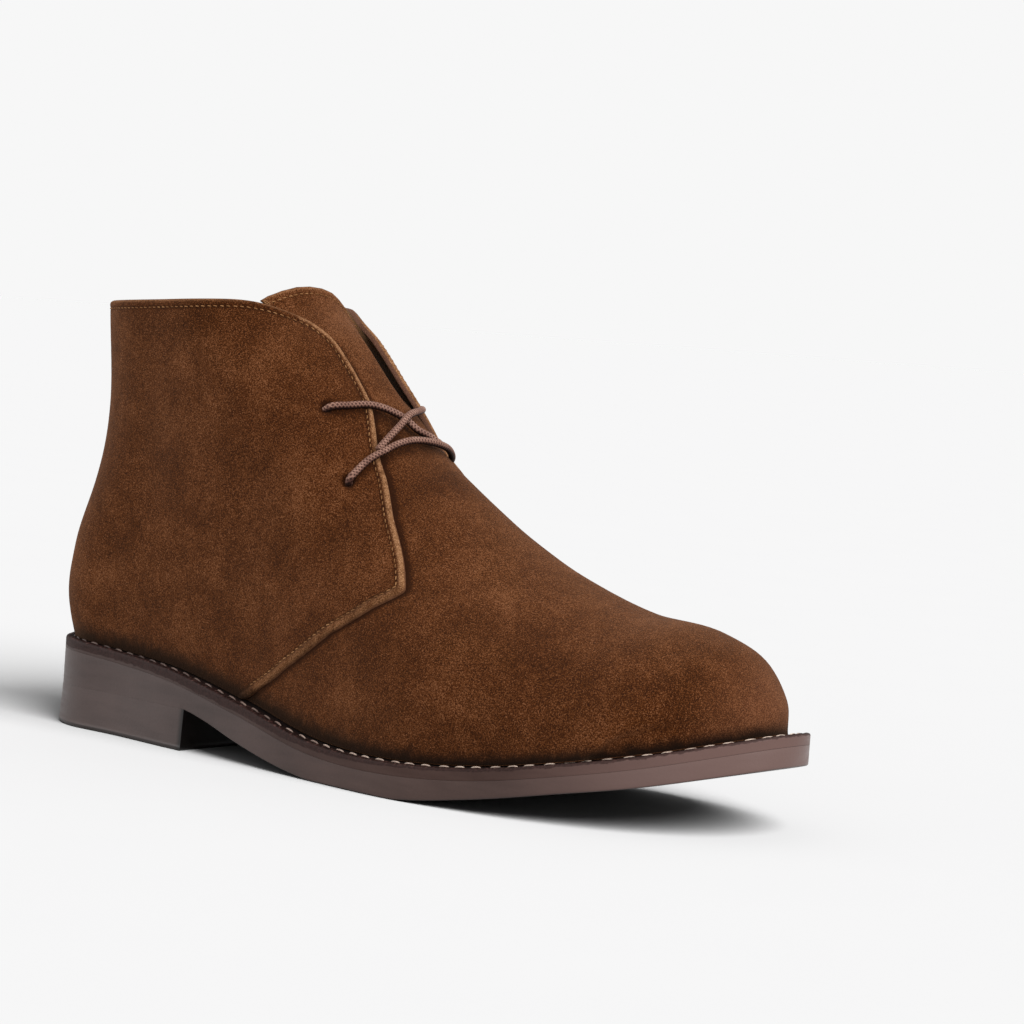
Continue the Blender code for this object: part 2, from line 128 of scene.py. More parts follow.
# half widths of the upper: one row for each height above the welt,
# one column for each distance from the back
STATIONS = (0, 45, 72, 110, 150, 190, 225, LENGTH)
LEVELS = (0, 14, 35, 70, 121)
OUTER = [
    (26.5, 28.0, 31.0, 36.5, 43.5, 49.0, 46.5, 43.0),
    (29.2, 30.6, 33.5, 38.2, 45.5, 50.8, 48.0, 43.5),
    (30.0, 32.0, 33.8, 38.0, 44.0, 48.5, 47.5, 43.0),
    (25.0, 29.0, 33.7, 36.0, 38.0, 40.0, 40.0, 40.0),
    (32.2, 34.0, 36.5, 36.0, 36.0, 36.0, 36.0, 36.0),
]
INNER = [
    (26.5, 28.3, 26.5, 22.5, 28.5, 38.5, 42.0, 40.5),
    (29.0, 31.3, 31.0, 28.5, 33.5, 41.5, 44.0, 41.5),
    (29.0, 32.0, 33.5, 36.0, 39.5, 43.5, 44.5, 42.0),
    (25.0, 29.0, 33.0, 35.0, 37.0, 38.0, 38.0, 38.0),
    (32.0, 34.0, 36.0, 36.0, 36.0, 36.0, 36.0, 36.0),
]
# rounding radius of the back, for each of the levels
BACK_ROUND = (27.3, 28.0, 29.7, 32.5, 36.4)
# throat: station on the front profile, half width of the gap between the quarters
THROAT = [
    (THROAT_Q, 0.0), (0.712, 8.5), (0.73, 14.0), (0.755, 17.0),
    (0.805, 13.6), (0.84, 12.7), (0.88, 12.3), (0.928, 13.0), (0.962, 16.2),
    (0.985, 21.0), (1.0, 30.0),
]
# tongue: station on the front profile, half width
TONGUE = [(0.655, 17.0), (0.67, 20.0), (0.72, 23.0), (0.80, 24.0), (0.90, 26.0), (1.0, 31.0)]
# lace: each strand by station, distance from the ridge (outer side below zero),
# height of its centre above the leather
STRANDS = {
    "under": [
        (0.7875, -26.2, 1.75), (0.7925, -21.5, 1.75), (0.795, -15.0, 1.75), (0.785, -8.5, 1.75),
        (0.7725, -5.0, 1.75), (0.755, -2.5, 1.75), (0.740, 1.0, 1.9), (0.7255, 4.0, 2.0),
    ],
    "over": [
        (0.790, 26.2, 1.75), (0.7925, 20.0, 1.75), (0.792, 11.0, 1.8), (0.785, 2.8, 2.6),
        (0.7735, -4.5, 3.5), (0.755, -10.5, 3.0), (0.735, -15.8, 2.2), (0.7075, -21.4, 1.9),
    ],
    "bar": [
        (0.637, -31.5, 1.75), (0.657, -29.3, 1.75), (0.685, -25.2, 1.75), (0.705, -20.3, 1.85),
        (0.7225, -14.2, 1.95), (0.7315, -8.0, 2.0), (0.7295, 0.0, 2.0), (0.7195, 8.0, 1.95),
        (0.703, 16.0, 1.85), (0.678, 24.5, 1.75), (0.655, 31.0, 1.75),
    ],
}
TONGUE_RISE = 5.0       # rounded top of the tongue above the collar


# ---- curves through the tables --------------------------------------------
def through(xs, ys, x):
    """Smooth curve through the rows of a table."""
    xs = np.asarray(xs, float)
    ys = np.asarray(ys, float)
    x = np.clip(np.asarray(x, float), xs[0], xs[-1])
    step = np.diff(xs)
    slope = np.diff(ys) / step
    tan = np.empty_like(ys)
    tan[0], tan[-1] = slope[0], slope[-1]
    w = step[:-1] / (step[:-1] + step[1:])
    tan[1:-1] = slope[:-1] * (1 - w) + slope[1:] * w
    i = np.clip(np.searchsorted(xs, x, side="right") - 1, 0, len(xs) - 2)
    h = step[i]
    t = (x - xs[i]) / h
    return ((2 * t**3 - 3 * t**2 + 1) * ys[i] + (t**3 - 2 * t**2 + t) * h * tan[i]
            + (3 * t**2 - 2 * t**3) * ys[i + 1] + (t**3 - t**2) * h * tan[i + 1])


def column(table, k):
    return [row[k] for row in table]


def sole_top(x):
    return through(column(SOLE, 0), column(SOLE, 3), x)


def sole_bottom(x):
    return np.where(x <= HEEL_LENGTH, SEAT_Z,
                    np.maximum(0.0, through(column(UNDERSIDE, 0), column(UNDERSIDE, 1), x)))


def margin(x):
    return through(column(MARGIN, 0), column(MARGIN, 1), x)


def ridge_shift(x):
    return through(column(RIDGE, 0), column(RIDGE, 1), x)


# ---- plan of the sole ------------------------------------------------------
def plan_loop(welt, more=0.0, steps=SIDE_STEPS, x_end=None):
    """Closed outline, set in from the sole's edge by welt times the margin plus more.

    Runs from the back of the heel along the outer side to the toe and back along
    the inner side. With x_end it stops there in a straight edge.
    """
    at_back = welt * MARGIN[0][1] + more
    at_toe = welt * MARGIN[-1][1] + more
    t = np.linspace(0.0, 1.0, steps + 1)
    if x_end is None:
        x = at_back + (LENGTH - at_toe - at_back) * (1 - np.cos(np.pi * t)) / 2
        x[np.abs(x - HEEL_LENGTH).argmin()] = HEEL_LENGTH
    else:
        x = at_back + (x_end - at_back) * (1 - np.cos(np.pi * t / 2))
    u = np.clip((x - at_back) / (HEEL_ROUND - at_back), 0, 1)
    v = np.clip((LENGTH - at_toe - x) / (TOE_ROUND - at_toe), 0, 1)
    ends = np.sqrt(1 - (1 - u) ** SECTION_POWER) * np.sqrt(1 - (1 - v) ** TOE_POWER)
    inset = welt * margin(x) + more
    outer = -(through(column(SOLE, 0), column(SOLE, 1), x) - inset) * ends
    inner = (through(column(SOLE, 0), column(SOLE, 2), x) - inset) * ends
    if x_end is None:
        xs = np.r_[x, x[-2:0:-1]]
        ys = np.r_[outer, inner[-2:0:-1]]
    else:
        xs = np.r_[x, x[:0:-1]]
        ys = np.r_[outer, inner[:0:-1]]
    return xs, ys


def lift(loop, height):
    x, y = loop
    return np.stack([x, y, height(x) if callable(height) else np.full_like(x, height)], 1)


# ---- the last: outer surface of the upper ----------------------------------
FRONT_X, FRONT_Z, FRONT_R = (column(FRONT, k) for k in range(3))
_run = np.r_[0.0, np.cumsum(np.hypot(np.diff(FRONT_X), np.diff(FRONT_Z)))]
FRONT_S = _run / _run[-2]
FINE = np.linspace(0.0, FRONT_S[-1], 640)
FINE_X = through(FRONT_S, FRONT_X, FINE)
FINE_Z = through(FRONT_S, FRONT_Z, FINE)
FINE_R = through(FRONT_S, FRONT_R, FINE)


def front_distance(x, z):
    """Distance to the front profile, and the rounding radius there."""
    shape = x.shape
    x = x.ravel()
    z = z.ravel()
    d2 = (x[:, None] - FINE_X) ** 2 + (z[:, None] - FINE_Z) ** 2
    i = np.clip(d2.argmin(1), 1, len(FINE) - 2)
    best = np.full(len(x), np.inf)
    radius = np.zeros(len(x))
    for k in (-1, 0):
        j = i + k
        ax, az = FINE_X[j], FINE_Z[j]
        bx, bz = FINE_X[j + 1] - ax, FINE_Z[j + 1] - az
        t = np.clip(((x - ax) * bx + (z - az) * bz) / (bx * bx + bz * bz), 0, 1)
        d = np.hypot(x - ax - t * bx, z - az - t * bz)
        near = d < best
        best[near] = d[near]
        radius[near] = (FINE_R[j] + t * (FINE_R[j + 1] - FINE_R[j]))[near]
    return best.reshape(shape), radius.reshape(shape)


def back_x(z):
    return through(column(BACK, 0), column(BACK, 1), z)


def upper_y(x, z, side):
    """Sideways position of the upper's outer face. side is -1 outside, +1 inside."""
    x = np.asarray(x, float)
    z = np.asarray(z, float)
    level = np.clip(z - sole_top(x), LEVELS[0], LEVELS[-1])
    rows = OUTER if side < 0 else INNER
    widths = np.stack([through(STATIONS, row, x) for row in rows])
    step = np.diff(LEVELS)[:, None]
    flat = widths.reshape(len(LEVELS), -1)
    slope = np.diff(flat, axis=0) / step
    tan = np.empty_like(flat)
    tan[0], tan[-1] = slope[0], slope[-1]
    w = step[:-1] / (step[:-1] + step[1:])
    tan[1:-1] = slope[:-1] * (1 - w) + slope[1:] * w
    lv = level.ravel()
    i = np.clip(np.searchsorted(LEVELS, lv, side="right") - 1, 0, len(LEVELS) - 2)
    n = np.arange(len(lv))
    h = np.diff(LEVELS)[i]
    t = (lv - np.asarray(LEVELS)[i]) / h
    width = ((2 * t**3 - 3 * t**2 + 1) * flat[i, n] + (t**3 - 2 * t**2 + t) * h * tan[i, n]
             + (3 * t**2 - 2 * t**3) * flat[i + 1, n] + (t**3 - t**2) * h * tan[i + 1, n])
    width = width.reshape(x.shape)
    d, radius = front_distance(x, z)
    u = np.clip(d / radius, 0, 1)
    v = np.clip((x - back_x(z)) / through(LEVELS, BACK_ROUND, level), 0, 1)
    ends = (np.sqrt(np.clip(1 - (1 - u) ** SECTION_POWER, 0, 1))
            * np.sqrt(np.clip(1 - (1 - v) ** SECTION_POWER, 0, 1)))
    return ridge_shift(x) * (1 - ends) + side * width * ends


def ring_xz(q, h):
    """Side view of ring q at h, from 0 at the back to 1 on the front profile."""
    z0 = BACK[0][0] + (BACK[-1][0] - BACK[0][0]) * q**1.25
    x0 = back_x(z0)
    x1 = np.interp(q, FINE, FINE_X)
    z1 = np.interp(q, FINE, FINE_Z)
    x = x0 + (x1 - x0) * h
    g = h**1.35
    z = z0 + (z1 - z0) * g
    low, high = sole_top(x0), sole_top(x1)
    return x, z + (1 - q) ** 2 * (sole_top(x) - (low + (high - low) * g))


def half_ring(q, side, gap, steps=SIDE_STEPS):
    """Points on one side of ring q, from the back to half gap from the ridge."""
    fine = (1 - np.cos(np.pi * np.linspace(0, 1, 241))) / 2
    x, z = ring_xz(q, fine)
    off = np.abs(upper_y(x, z, side) - ridge_shift(x))
    if gap <= 0:
        h1 = 1.0
    else:
        k = np.arange(120, 241)
        h1 = float(np.interp(-gap, -off[k], fine[k]))
    t = np.linspace(0, 1, steps + 1)
    h = (1 - np.cos(np.pi * t)) / 2 * h1     # the columns gather at the back and at the front
    x, z = ring_xz(q, h)
    return np.stack([x, upper_y(x, z, side), z], 1)


def outward(x, z, side, e=0.4):
    """Outward normal of the upper at a point of its side view."""
    dydx = (upper_y(x + e, z, side) - upper_y(x - e, z, side)) / (2 * e)
    dydz = (upper_y(x, z + e, side) - upper_y(x, z - e, side)) / (2 * e)
    n = np.stack([-dydx, np.ones_like(dydx), -dydz], -1) * side
    return n / np.linalg.norm(n, axis=-1, keepdims=True)


SIDES = {"outer": -1, "inner": 1}

# ---- sizes of the finish ---------------------------------------------------
QUARTER_OUT = 0.5       # outer face of the quarters above the wall's surface
QUARTER_IN = -1.6       # their lining
VAMP_DROP = 0.9         # vamp under the quarters' edge
VAMP_T = 1.3
TONGUE_DROP = 1.7       # tongue under the quarters
FACING_STITCH = 2.7     # stitch row inside the quarters' front edge
COLLAR_STITCH = 2.4     # stitch row below the collar
UPPER_PITCH = 2.35
UPPER_STITCH = 1.6
WELT_PITCH = 6.5
WELT_STITCH = 4.4
WELT_INSET = 3.3        # welt stitches in from the sole's edge
INNER_LOWER = 3.0       # the collar dips on the inner side

# front edge of the quarters, below: station, share of the ring from the back
EDGE_LOW = [
    (0.0, 0.357), (0.045, 0.3855), (0.1225, 0.4595), (0.23, 0.578), (0.32, 0.6975), (0.375, 0.7855),
]
# the same edge above the corner: station, distance from the ridge
EDGE_HIGH = [
    (0.5625, 30.2), (0.6575, 23.9), (0.6925, 22.0), (0.7325, 19.2),
    (0.7625, 16.8), (0.805, 13.6), (0.8375, 12.7), (0.880, 12.3), (0.9275, 13.2), (0.9625, 16.6),
    (0.985, 22.0), (0.994, 26.5), (1.0, 33.5),
]
CORNER_Q = 0.375
# eyelets in each quarter: station, distance from the ridge, on the outer and the inner side
EYELETS = {
    "outer": [(0.7925, 26.4), (0.637, 31.7)],
    "inner": [(0.790, 26.2), (0.655, 31.0)],
}
# soft troughs (below zero) and ridges: side, x, z, turn in degrees, half length, half width, height
CREASES = [
    ("outer", 128, 98, 78, 22, 9, 0.45), ("outer", 146, 86, 70, 20, 8, -0.45),
    ("outer", 104, 84, 65, 24, 10, -0.35), ("outer", 52, 98, 100, 30, 12, -0.5),
    ("outer", 70, 66, 160, 26, 9, 0.35), ("outer", 88, 120, 95, 26, 11, 0.3),
    ("outer", 186, 78, 125, 18, 6, -0.35), ("outer", 205, 66, 120, 22, 7, -0.3),
    ("outer", 30, 60, 20, 16, 8, -0.3), ("outer", 118, 50, 35, 26, 9, -0.35),
    ("inner", 126, 96, 80, 22, 9, 0.45), ("inner", 100, 82, 65, 24, 10, -0.4),
    ("inner", 54, 98, 100, 30, 12, -0.5), ("inner", 74, 62, 160, 26, 9, 0.35),
    ("inner", 190, 76, 125, 18, 6, -0.35), ("inner", 212, 62, 118, 22, 7, -0.3),
    ("inner", 120, 48, 35, 26, 9, -0.35), ("inner", 148, 84, 68, 20, 8, -0.4),
]
# lighter (above zero) and darker patches of nap: side, x, z, half width, half height, tone; the lighter patches on the
# toe tip, at x 301, are a painted highlight
NAP = [
    ("outer", 71, 133, 15, 11, 0.42), ("outer", 105, 137, 10, 10, 0.42), ("outer", 89, 121, 10, 9, 0.30),
    ("outer", 80, 110, 12, 9, 0.22), ("outer", 128, 96, 7, 17, 0.50), ("outer", 111, 80, 14, 9, 0.20),
    ("outer", 32, 57, 12, 6, 0.45), ("outer", 56, 58, 13, 6, 0.38), ("outer", 89, 63, 14, 7, 0.25),
    ("outer", 135, 102, 8, 8, 0.25), ("outer", 128, 58, 13, 5, 0.30), ("outer", 156, 64, 12, 5, 0.30),
    ("outer", 167, 72, 6, 9, 0.30), ("outer", 57, 145, 16, 6, 0.10),
    ("outer", 129, 119, 12, 8, -0.45), ("outer", 52, 99, 15, 9, -0.35), ("outer", 28, 86, 10, 10, -0.35),
    ("outer", 128, 66, 10, 6, -0.45), ("outer", 64, 50, 16, 5, -0.25), ("outer", 77, 149, 26, 5, -0.45),
    ("outer", 147, 83, 8, 9, -0.25), ("outer", 95, 99, 10, 7, -0.25), ("outer", 42, 69, 14, 6, -0.20),
    ("outer", 198, 75, 18, 10, 0.45), ("outer", 217, 68, 16, 8, 0.35), ("outer", 178, 86, 10, 9, 0.05),
    ("outer", 208, 31, 22, 7, 0.22), ("outer", 163, 30, 12, 6, 0.35), ("outer", 252, 35, 16, 7, 0.20),
    # the last patch here, on the toe tip, is a painted highlight
    ("outer", 278, 58, 16, 8, -0.02), ("outer", 259, 60, 14, 6, 0.0), ("outer", 301, 42, 9, 12, 0.60),
    ("outer", 163, 100, 9, 8, -0.60), ("outer", 172, 46, 16, 9, -0.40), ("outer", 220, 54, 20, 7, -0.35),
    ("outer", 275, 42, 16, 8, -0.25), ("outer", 240, 45, 20, 6, -0.20), ("outer", 176, 74, 6, 6, -0.20),
    ("inner", 70, 130, 15, 11, 0.40), ("inner", 106, 128, 10, 12, 0.35), ("inner", 96, 92, 12, 10, 0.30),
    ("inner", 36, 60, 14, 7, 0.40), ("inner", 84, 62, 16, 7, 0.30), ("inner", 140, 74, 14, 8, 0.30),
    ("inner", 124, 108, 12, 8, -0.40), ("inner", 54, 96, 14, 9, -0.35), ("inner", 120, 64, 12, 7, -0.40),
    ("inner", 76, 149, 26, 5, -0.40), ("inner", 30, 88, 10, 10, -0.30), ("inner", 200, 72, 20, 10, 0.45),
    ("inner", 232, 58, 18, 8, 0.25), ("inner", 176, 44, 16, 9, -0.35), ("inner", 222, 48, 20, 7, -0.30),
    # the last patch here, on the toe tip, is a painted highlight
    ("inner", 206, 30, 22, 6, 0.22), ("inner", 270, 46, 16, 8, -0.20), ("inner", 301, 42, 9, 12, 0.55),
]


# ---- small helpers ---------------------------------------------------------
X_MID = LENGTH / 2 - HEEL_FLARE / 2
Y_MID = float((plan_loop(0.0, steps=200)[1].min() + plan_loop(0.0, steps=200)[1].max()) / 2)


def smooth(a, b, x):
    t = np.clip((np.asarray(x, float) - a) / (b - a), 0, 1)
    return t * t * (3 - 2 * t)


def unit(v):
    return v / (np.linalg.norm(v, axis=-1, keepdims=True) + 1e-12)


def place(points):
    return (np.asarray(points, float) - (X_MID, Y_MID, 0.0)) * MM


def mesh_piece(name, points, faces, materials, slots=None, attributes=None, sharp=None):
    """New mesh piece that rides with the boot. points are in the working frame."""
    mesh = bpy.data.meshes.new(name)
    mesh.from_pydata(place(points).tolist(), [], [tuple(int(k) for k in f) for f in faces])
    mesh.update()
    for m in materials:
        mesh.materials.append(m)
    if slots is not None:
        mesh.polygons.foreach_set("material_index", np.asarray(slots, np.int32))
    for key, values in (attributes or {}).items():
        layer = mesh.attributes.new(key, "FLOAT", "POINT")
        layer.data.foreach_set("value", np.asarray(values, np.float32))
    mesh.shade_smooth()
    if sharp is not None:
        mesh.set_sharp_from_angle(angle=sharp)
    ob = bpy.data.objects.new(name, mesh)
    bpy.context.scene.collection.objects.link(ob)
    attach(ob, "root")
    return ob


def grid_faces(rows, cols, start=0, flip=False, closed=False):
    out = []
    for a in range(rows - 1):
        for i in range(cols if closed else cols - 1):
            j = (i + 1) % cols
            f = (start + a * cols + i, start + a * cols + j, start + (a + 1) * cols + j, start + (a + 1) * cols + i)
            out.append(f[::-1] if flip else f)
    return out


def grid_normals(grid, outward_from=None):
    """Normals of a grid of points by differences along rows and columns."""
    du = np.gradient(grid, axis=1)
    dv = np.gradient(grid, axis=0)
    return unit(np.cross(du, dv))


def arc(points):
    return np.r_[0.0, np.cumsum(np.linalg.norm(np.diff(points, axis=0), axis=1))]


def at_arc(points, s, where):
    return np.stack([np.interp(where, s, points[:, k]) for k in range(3)], 1)


def nearest_distance(points, line):
    out = np.empty(len(points))
    for a in range(0, len(points), 4000):
        p = points[a:a + 4000]
        out[a:a + 4000] = np.sqrt(((p[:, None] - line) ** 2).sum(2).min(1))
    return out


def relief(points, side_name):
    """Height of the soft troughs and ridges at points on one side."""
    out = np.zeros(len(points))
    for side, x, z, turn, length, width, height in CREASES:
        if side != side_name:
            continue
        c, s = math.cos(math.radians(turn)), math.sin(math.radians(turn))
        dx, dz = points[:, 0] - x, points[:, 2] - z
        u, v = dx * c + dz * s, -dx * s + dz * c
        out += height * np.exp(-(u / length) ** 2 - (v / width) ** 2)
    return out


def nap_tone(points, sides):
    """Tone of the nap at points; sides is below zero on the outer side."""
    out = np.zeros(len(points))
    for side, x, z, wide, high, tone in NAP:
        on = smooth(-9, 5, sides * SIDES[side])
        out += tone * on * np.exp(-((points[:, 0] - x) / wide) ** 2 - ((points[:, 2] - z) / high) ** 2)
    return out


# ---- rings of the last, evenly spaced --------------------------------------
H_FINE = (1 - np.cos(np.pi * np.linspace(0, 1, 361))) / 2


def full_row(q, side):
    x, z = ring_xz(q, H_FINE)
    if side > 0:
        z = z - INNER_LOWER * smooth(0.0, 0.12, H_FINE) * (1 - smooth(0.45, 0.8, H_FINE)) * smooth(0.8, 1.0, q)
    return np.stack([x, upper_y(x, z, side), z + GAP], 1)


def edge_gap_h(q, side):
    """Share of ring q where the edge lies, from its distance to the ridge."""
    gap = float(through(column(EDGE_HIGH, 0), column(EDGE_HIGH, 1), min(q, 1.0)))
    k = len(H_FINE) // 2
    row = full_row(q, side)
    off = np.abs(row[:, 1] - ridge_shift(row[:, 0]))
    return float(np.interp(-gap, -off[k:], H_FINE[k:]))


# stations and shares up the facing, from the corner to where its distance to the ridge takes over
FACING = [(CORNER_Q, 0.782), (0.46, 0.8225), (0.5625, 0.8655), (0.6575, edge_gap_h(0.6575, -1)),
          (0.6925, edge_gap_h(0.6925, -1))]


def edge_h(q, side):
    """Share of ring q where the quarter's front edge crosses it."""
    low = float(np.interp(q, column(EDGE_LOW, 0), column(EDGE_LOW, 1)))
    if q > CORNER_Q:
        low += (q - CORNER_Q) * 1.6
    if q < 0.6575:
        up = float(through(column(FACING, 0), column(FACING, 1), max(q, CORNER_Q)))
        if q < CORNER_Q:
            up -= (CORNER_Q - q) * 0.48
        turn = 0.004        # the corner is a little rounded
        return float(0.5 * (low + up) - math.sqrt((0.5 * (low - up)) ** 2 + turn ** 2)) if q < 0.5 else up
    outer = edge_gap_h(q, -1)
    if side < 0:
        return outer
    w = float(smooth(0.6575, 0.74, q))
    return outer * (1 - w) + edge_gap_h(q, 1) * w


def spaced(parts):
    """Joined stretches of even steps: list of (start, end, step count)."""
    out = [parts[0][0]]
    for a, b, n in parts:
        out += list(np.linspace(a, b, n + 1)[1:])
    return np.array(out)


# ---- materials -------------------------------------------------------------
class Nodes:
    """Short way to write a node tree."""

    def __init__(self, name):
        self.mat = bpy.data.materials.new(name)
        self.mat.use_nodes = True
        self.tree = self.mat.node_tree
        self.shader = self.tree.nodes["Principled BSDF"]

    def add(self, kind, **inputs):
        node = self.tree.nodes.new(kind)
        for key, value in inputs.items():
            if hasattr(node, key) and key not in node.inputs:
                setattr(node, key, value)
        return node

    def put(self, socket, value):
        if isinstance(value, bpy.types.NodeSocket):
            self.tree.links.new(value, socket)
        else:
            socket.default_value = value

    def math(self, op, a, b=0.0, c=0.0, clamp=False):
        node = self.add("ShaderNodeMath", operation=op, use_clamp=clamp)
        for k, v in enumerate((a, b, c)):
            self.put(node.inputs[k], v)
        return node.outputs[0]

    def coords(self, scale=(1, 1, 1), rotation=(0, 0, 0)):
        """Object coordinates in millimetres, stretched by scale."""
        tex = self.add("ShaderNodeTexCoord")
        mapping = self.add("ShaderNodeMapping")
        mapping.inputs["Scale"].default_value = tuple(1000.0 * s for s in scale)
        mapping.inputs["Rotation"].default_value = rotation
        self.tree.links.new(tex.outputs["Object"], mapping.inputs["Vector"])
        return mapping.outputs["Vector"]

    def noise(self, size, detail=2.0, rough=0.5, distortion=0.0, vector=None):
        node = self.add("ShaderNodeTexNoise")
        self.put(node.inputs["Vector"], vector if vector is not None else self.coords())
        node.inputs["Scale"].default_value = 1.0 / size
        node.inputs["Detail"].default_value = detail
        node.inputs["Roughness"].default_value = rough
        node.inputs["Distortion"].default_value = distortion
        return node.outputs["Fac"]

    def attribute(self, name):
        node = self.add("ShaderNodeAttribute")
        node.attribute_type = "GEOMETRY"
        node.attribute_name = name
        return node.outputs["Fac"]

    def span(self, value, a, b, c=0.0, d=1.0):
        node = self.add("ShaderNodeMapRange")
        node.interpolation_type = "SMOOTHSTEP"
        self.put(node.inputs["Value"], value)
        node.inputs["From Min"].default_value = a
        node.inputs["From Max"].default_value = b
        node.inputs["To Min"].default_value = c
        node.inputs["To Max"].default_value = d
        return node.outputs["Result"]

    def ramp(self, value, stops):
        node = self.add("ShaderNodeValToRGB")
        self.put(node.inputs["Fac"], value)
        ramp = node.color_ramp
        while len(ramp.elements) < len(stops):
            ramp.elements.new(0.5)
        for element, (at, colour) in zip(ramp.elements, stops):
            element.position = at
            element.color = (*colour, 1.0)
        return node.outputs["Color"]

    def mix(self, factor, a, b, blend="MIX"):
        node = self.add("ShaderNodeMix", data_type="RGBA", blend_type=blend)
        self.put(node.inputs[0], factor)
        for k, v in ((6, a), (7, b)):
            self.put(node.inputs[k], v if isinstance(v, bpy.types.NodeSocket) else (*v, 1.0))
        return node.outputs[2]

    def bump(self, height, distance, strength=1.0, normal=None):
        node = self.add("ShaderNodeBump")
        node.inputs["Strength"].default_value = strength
        node.inputs["Distance"].default_value = distance * MM
        self.put(node.inputs["Height"], height)
        if normal is not None:
            self.put(node.inputs["Normal"], normal)
        return node.outputs["Normal"]

    def done(self, colour, rough, normal=None, **constants):
        self.put(self.shader.inputs["Base Color"], colour if isinstance(colour, bpy.types.NodeSocket) else (*colour, 1.0))
        self.put(self.shader.inputs["Roughness"], rough)
        if normal is not None:
            self.put(self.shader.inputs["Normal"], normal)
        for key, value in constants.items():
            self.shader.inputs[key.replace("_", " ")].default_value = value
        return self.mat


def suede_material():
    m = Nodes("suede")
    tone = m.attribute("tone")
    foot = m.attribute("foot")
    painted_shade_and_tone = m.attribute("painted_shade_and_tone")
    cloud = m.noise(17.0, 3.0, 0.55, 0.6)
    mottle = m.noise(5.0, 3.0, 0.6, 0.3)
    streak = m.noise(3.2, 2.0, 0.5, 0.2, m.coords((1.5, 1.5, 0.55)))
    nap = m.noise(0.46, 2.0, 0.65)
    fine = m.noise(0.24, 1.0, 0.6)
    level = m.math("MULTIPLY_ADD", m.math("SUBTRACT", cloud, 0.5), 0.75, 0.45)
    level = m.math("MULTIPLY_ADD", m.math("SUBTRACT", mottle, 0.5), 0.35, level)
    level = m.math("MULTIPLY_ADD", m.math("SUBTRACT", streak, 0.5), 0.20, level)
    level = m.math("MULTIPLY_ADD", m.math("SUBTRACT", nap, 0.5), 2.5, level)
    level = m.math("MULTIPLY_ADD", m.math("SUBTRACT", fine, 0.5), 2.2, level)
    level = m.math("MULTIPLY_ADD", tone, 0.26, level)
    # painted shade through this attribute: shadows under the lace, shade in the stitch channels, in the eyelet holes
    # and beside the quarters' edge; it also darkens the back seam and lightens the tongue and the top edge
    level = m.math("MULTIPLY_ADD", painted_shade_and_tone, 0.30, level)
    colour = m.ramp(level, [(0.0, (0.0150, 0.0038, 0.0008)), (0.30, (0.0305, 0.0079, 0.0013)),
                            (0.52, (0.0510, 0.0142, 0.0027)), (0.74, (0.0815, 0.0258, 0.0070)),
                            (1.0, (0.140, 0.056, 0.024))])
    # painted highlight: the toe tip is made lighter
    toe_highlight = m.attribute("toe_highlight")
    colour = m.mix(m.math("MULTIPLY", toe_highlight, 0.65), colour, (0.130, 0.052, 0.029))
    pale = m.ramp(m.math("MULTIPLY_ADD", m.math("SUBTRACT", nap, 0.5), 2.6, 0.5),
                  [(0.1, (0.090, 0.038, 0.014)), (0.5, (0.175, 0.082, 0.036)), (0.9, (0.290, 0.155, 0.080))])
    # paler worn fibres along the cut edges, partly a painted highlight on the rounded edge
    worn = m.math("MULTIPLY", m.attribute("cut"), m.span(m.math("MULTIPLY_ADD", m.math("SUBTRACT", streak, 0.5), 1.5, mottle), 0.15, 0.60, 0.45, 1.0))
    colour = m.mix(worn, colour, pale)
    # painted shade where the upper meets the welt: the suede darkens almost to black close to the welt; partly a
    # darker dyed lower edge
    dark = m.span(m.math("ADD", foot, m.math("MULTIPLY", m.math("SUBTRACT", mottle, 0.5), 4.0)), 0.8, 6.5)
    colour = m.mix(dark, (0.0050, 0.0022, 0.0012), colour)
    height = m.math("MULTIPLY_ADD", nap, 0.75, m.math("MULTIPLY", fine, 0.3))
    normal = m.bump(height, 0.34, 0.75)
    normal = m.bump(mottle, 0.55, 0.5, normal)
    return m.done(colour, 0.92, normal, Sheen_Weight=0.12, Sheen_Roughness=0.5,
                  Sheen_Tint=(0.85, 0.46, 0.27, 1.0), Specular_IOR_Level=0.04)


def edge_material():
    m = Nodes("edge_tan")
    fibre = m.noise(0.35, 3.0, 0.7)
    patch = m.noise(4.0, 2.0, 0.5)
    level = m.math("MULTIPLY_ADD", m.math("SUBTRACT", fibre, 0.5), 0.9, 0.30)
    level = m.math("MULTIPLY_ADD", m.math("SUBTRACT", patch, 0.5), 0.8, level)
    colour = m.ramp(level, [(0.0, (0.045, 0.0165, 0.0070)), (0.45, (0.122, 0.0530, 0.0260)),
                            (1.0, (0.27, 0.142, 0.082))])
    # painted shade: the cut edges of the inner quarter, on the side away from the lamps, are darker
    colour = m.mix(m.math("MULTIPLY", m.attribute("inner_edge_shade"), 0.8), colour, m.ramp(fibre, [(0.3, (0.060, 0.0260, 0.0160)), (0.7, (0.150, 0.0760, 0.0520))]))
    return m.done(colour, 0.9, m.bump(fibre, 0.25, 0.8), Specular_IOR_Level=0.03)


def lining_material():
    m = Nodes("lining")
    pebble = m.noise(0.9, 3.0, 0.6)
    patch = m.noise(13.0, 2.0, 0.5)
    level = m.math("MULTIPLY_ADD", m.math("SUBTRACT", pebble, 0.5), 0.4, patch)
    colour = m.ramp(level, [(0.2, (0.24, 0.118, 0.046)), (0.8, (0.37, 0.200, 0.088))])
    # painted shade: the lining near the front edge is darkened almost to black, for the shadowed gap beside the tongue
    colour = m.mix(m.attribute("gap_shade"), colour, (0.0110, 0.0050, 0.0028))
    return m.done(colour, m.span(pebble, 0.2, 0.8, 0.55, 0.7), m.bump(pebble, 0.10, 0.6), Specular_IOR_Level=0.25)


